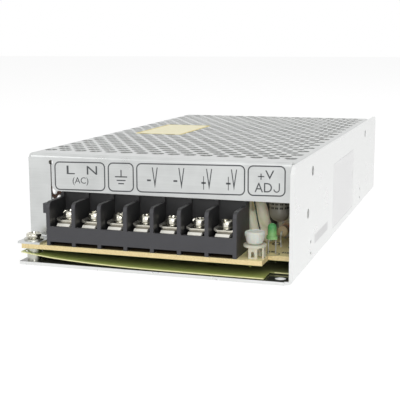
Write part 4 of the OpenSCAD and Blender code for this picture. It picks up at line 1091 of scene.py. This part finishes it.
def makeCoils():
    low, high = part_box("line_choke_windings")
    middle = (low + high) / 2
    near = [v.co.x for v in nodes["line_choke_windings"].data.vertices if v.co.x < middle.x]
    width, length = max(near) - low.x, high.y - low.y
    wire, pitch = coilLook["wire"] * mm, coilLook["pitch"] * mm
    turns = int((high.z - low.z - wire) / pitch) + 1
    values = {"Width": width - wire, "Length": length - wire, "Corner": coilLook["corner"] * mm, "Wire": wire,
              "Sides": coilLook["sides"], "Turns": turns, "Pitch": (0, 0, pitch)}
    grow("chokeTurns", [(x, middle.y, low.z + wire / 2) for x in (low.x + width / 2, high.x - width / 2)],
         coilTree(values), "copper_wire", "line_choke_windings")
    print("coil turns:", turns, "on each limb")


makeCoils()

# camera, lamps and floor: each lamp is a place, an aim, a size and an energy
view = {"place": (0.10633, -0.36852, 0.07653), "pitch": 79.917, "turn": 18.113, "roll": -0.163, "lens": 80.43}
light = {"world": 0.48, "floor": 0.82, "floorGlow": 0.8, "floorShade": 0.32, "floorSize": 4, "floorDrop": 0.2,
         "lamps": {"lowLamp": ((0.45, -1.35, 0.4), (0, 0, 0.01), 0.5, 5.2),
                   "highLamp": ((0.25, -1.0, 0.95), (0, 0, 0.01), 0.9, 3.6),
                   "leftLamp": ((-0.8, -1.1, 0.5), (0, 0, 0.01), 0.4, 1.2),
                   "sideLamp": ((1.2, 0.1, 0.7), (0, 0, 0.02), 0.9, 4.6),
                   "topLamp": ((-0.2, 0.2, 1.4), (0, 0, 0), 1.2, 0.8)}}


def makeCamera():
    data = bpy.data.cameras.new("studioCamera")
    data.lens = view["lens"]
    data.sensor_width = 36
    camera = placed("studioCamera", data)
    camera.location = view["place"]
    turn, pitch, roll = [Matrix.Rotation(math.radians(view[key]), 3, axis)
                         for key, axis in (("turn", "Z"), ("pitch", "X"), ("roll", "Z"))]
    camera.rotation_euler = (turn @ pitch @ roll).to_euler()
    bpy.context.scene.camera = camera


def makeLamp(name, place, target, size, energy):
    data = bpy.data.lights.new(name, "AREA")
    data.size = size
    data.energy = energy
    lamp = placed(name, data)
    lamp.location = place
    lamp.rotation_euler = (Vector(target) - Vector(place)).to_track_quat("-Z", "Y").to_euler()


def seenRay(tree):
    # 1 where the eye meets it straight, in a reflection or through glass
    straight = tree.node("ShaderNodeLightPath", out="Is Camera Ray")
    return straight.most(straight.beside("Is Glossy Ray")).most(straight.beside("Is Transmission Ray"))


def makeWorld():
    world = bpy.data.worlds.new("studio")
    bpy.context.scene.world = world
    world.use_nodes = True
    studio = Tree(world.node_tree)
    studio.tree.nodes.clear()
    soft, white = [studio.node("ShaderNodeBackground", {}, {"Color": (1, 1, 1, 1), "Strength": level})
                   for level in (light["world"], 1.0)]
    mixed = studio.node("ShaderNodeMixShader", {}, {0: seenRay(studio), 1: soft, 2: white})
    studio.node("ShaderNodeOutputWorld", {}, {"Surface": mixed})


def makeFloor():
    shape = bmesh.new()
    bmesh.ops.create_grid(shape, x_segments=1, y_segments=1, size=light["floorSize"])
    bmesh.ops.translate(shape, verts=shape.verts, vec=(0, 0, -light["floorDrop"] * mm))
    floor = placed("floor", meshFrom("floor", shape))
    finish = Finish("paleFloor")
    matt, shaded = [finish.node("ShaderNodeBsdfDiffuse", {}, {"Color": (*[light[key]] * 3, 1)})
                    for key in ("floor", "floorShade")]
    glow = finish.node("ShaderNodeEmission", {}, {"Color": (1, 1, 1, 1), "Strength": light["floorGlow"]})
    white = finish.node("ShaderNodeAddShader", {}, {0: shaded, 1: glow})
    mixed = finish.node("ShaderNodeMixShader", {}, {0: seenRay(finish), 1: matt, 2: white})
    floor.data.materials.append(finish.finished(mixed))


makeCamera()
makeWorld()
makeFloor()
for name, settings in light["lamps"].items():
    makeLamp(name, *settings)
bpy.context.scene.view_settings.view_transform = "Standard"
print("camera, lamps and floor made")
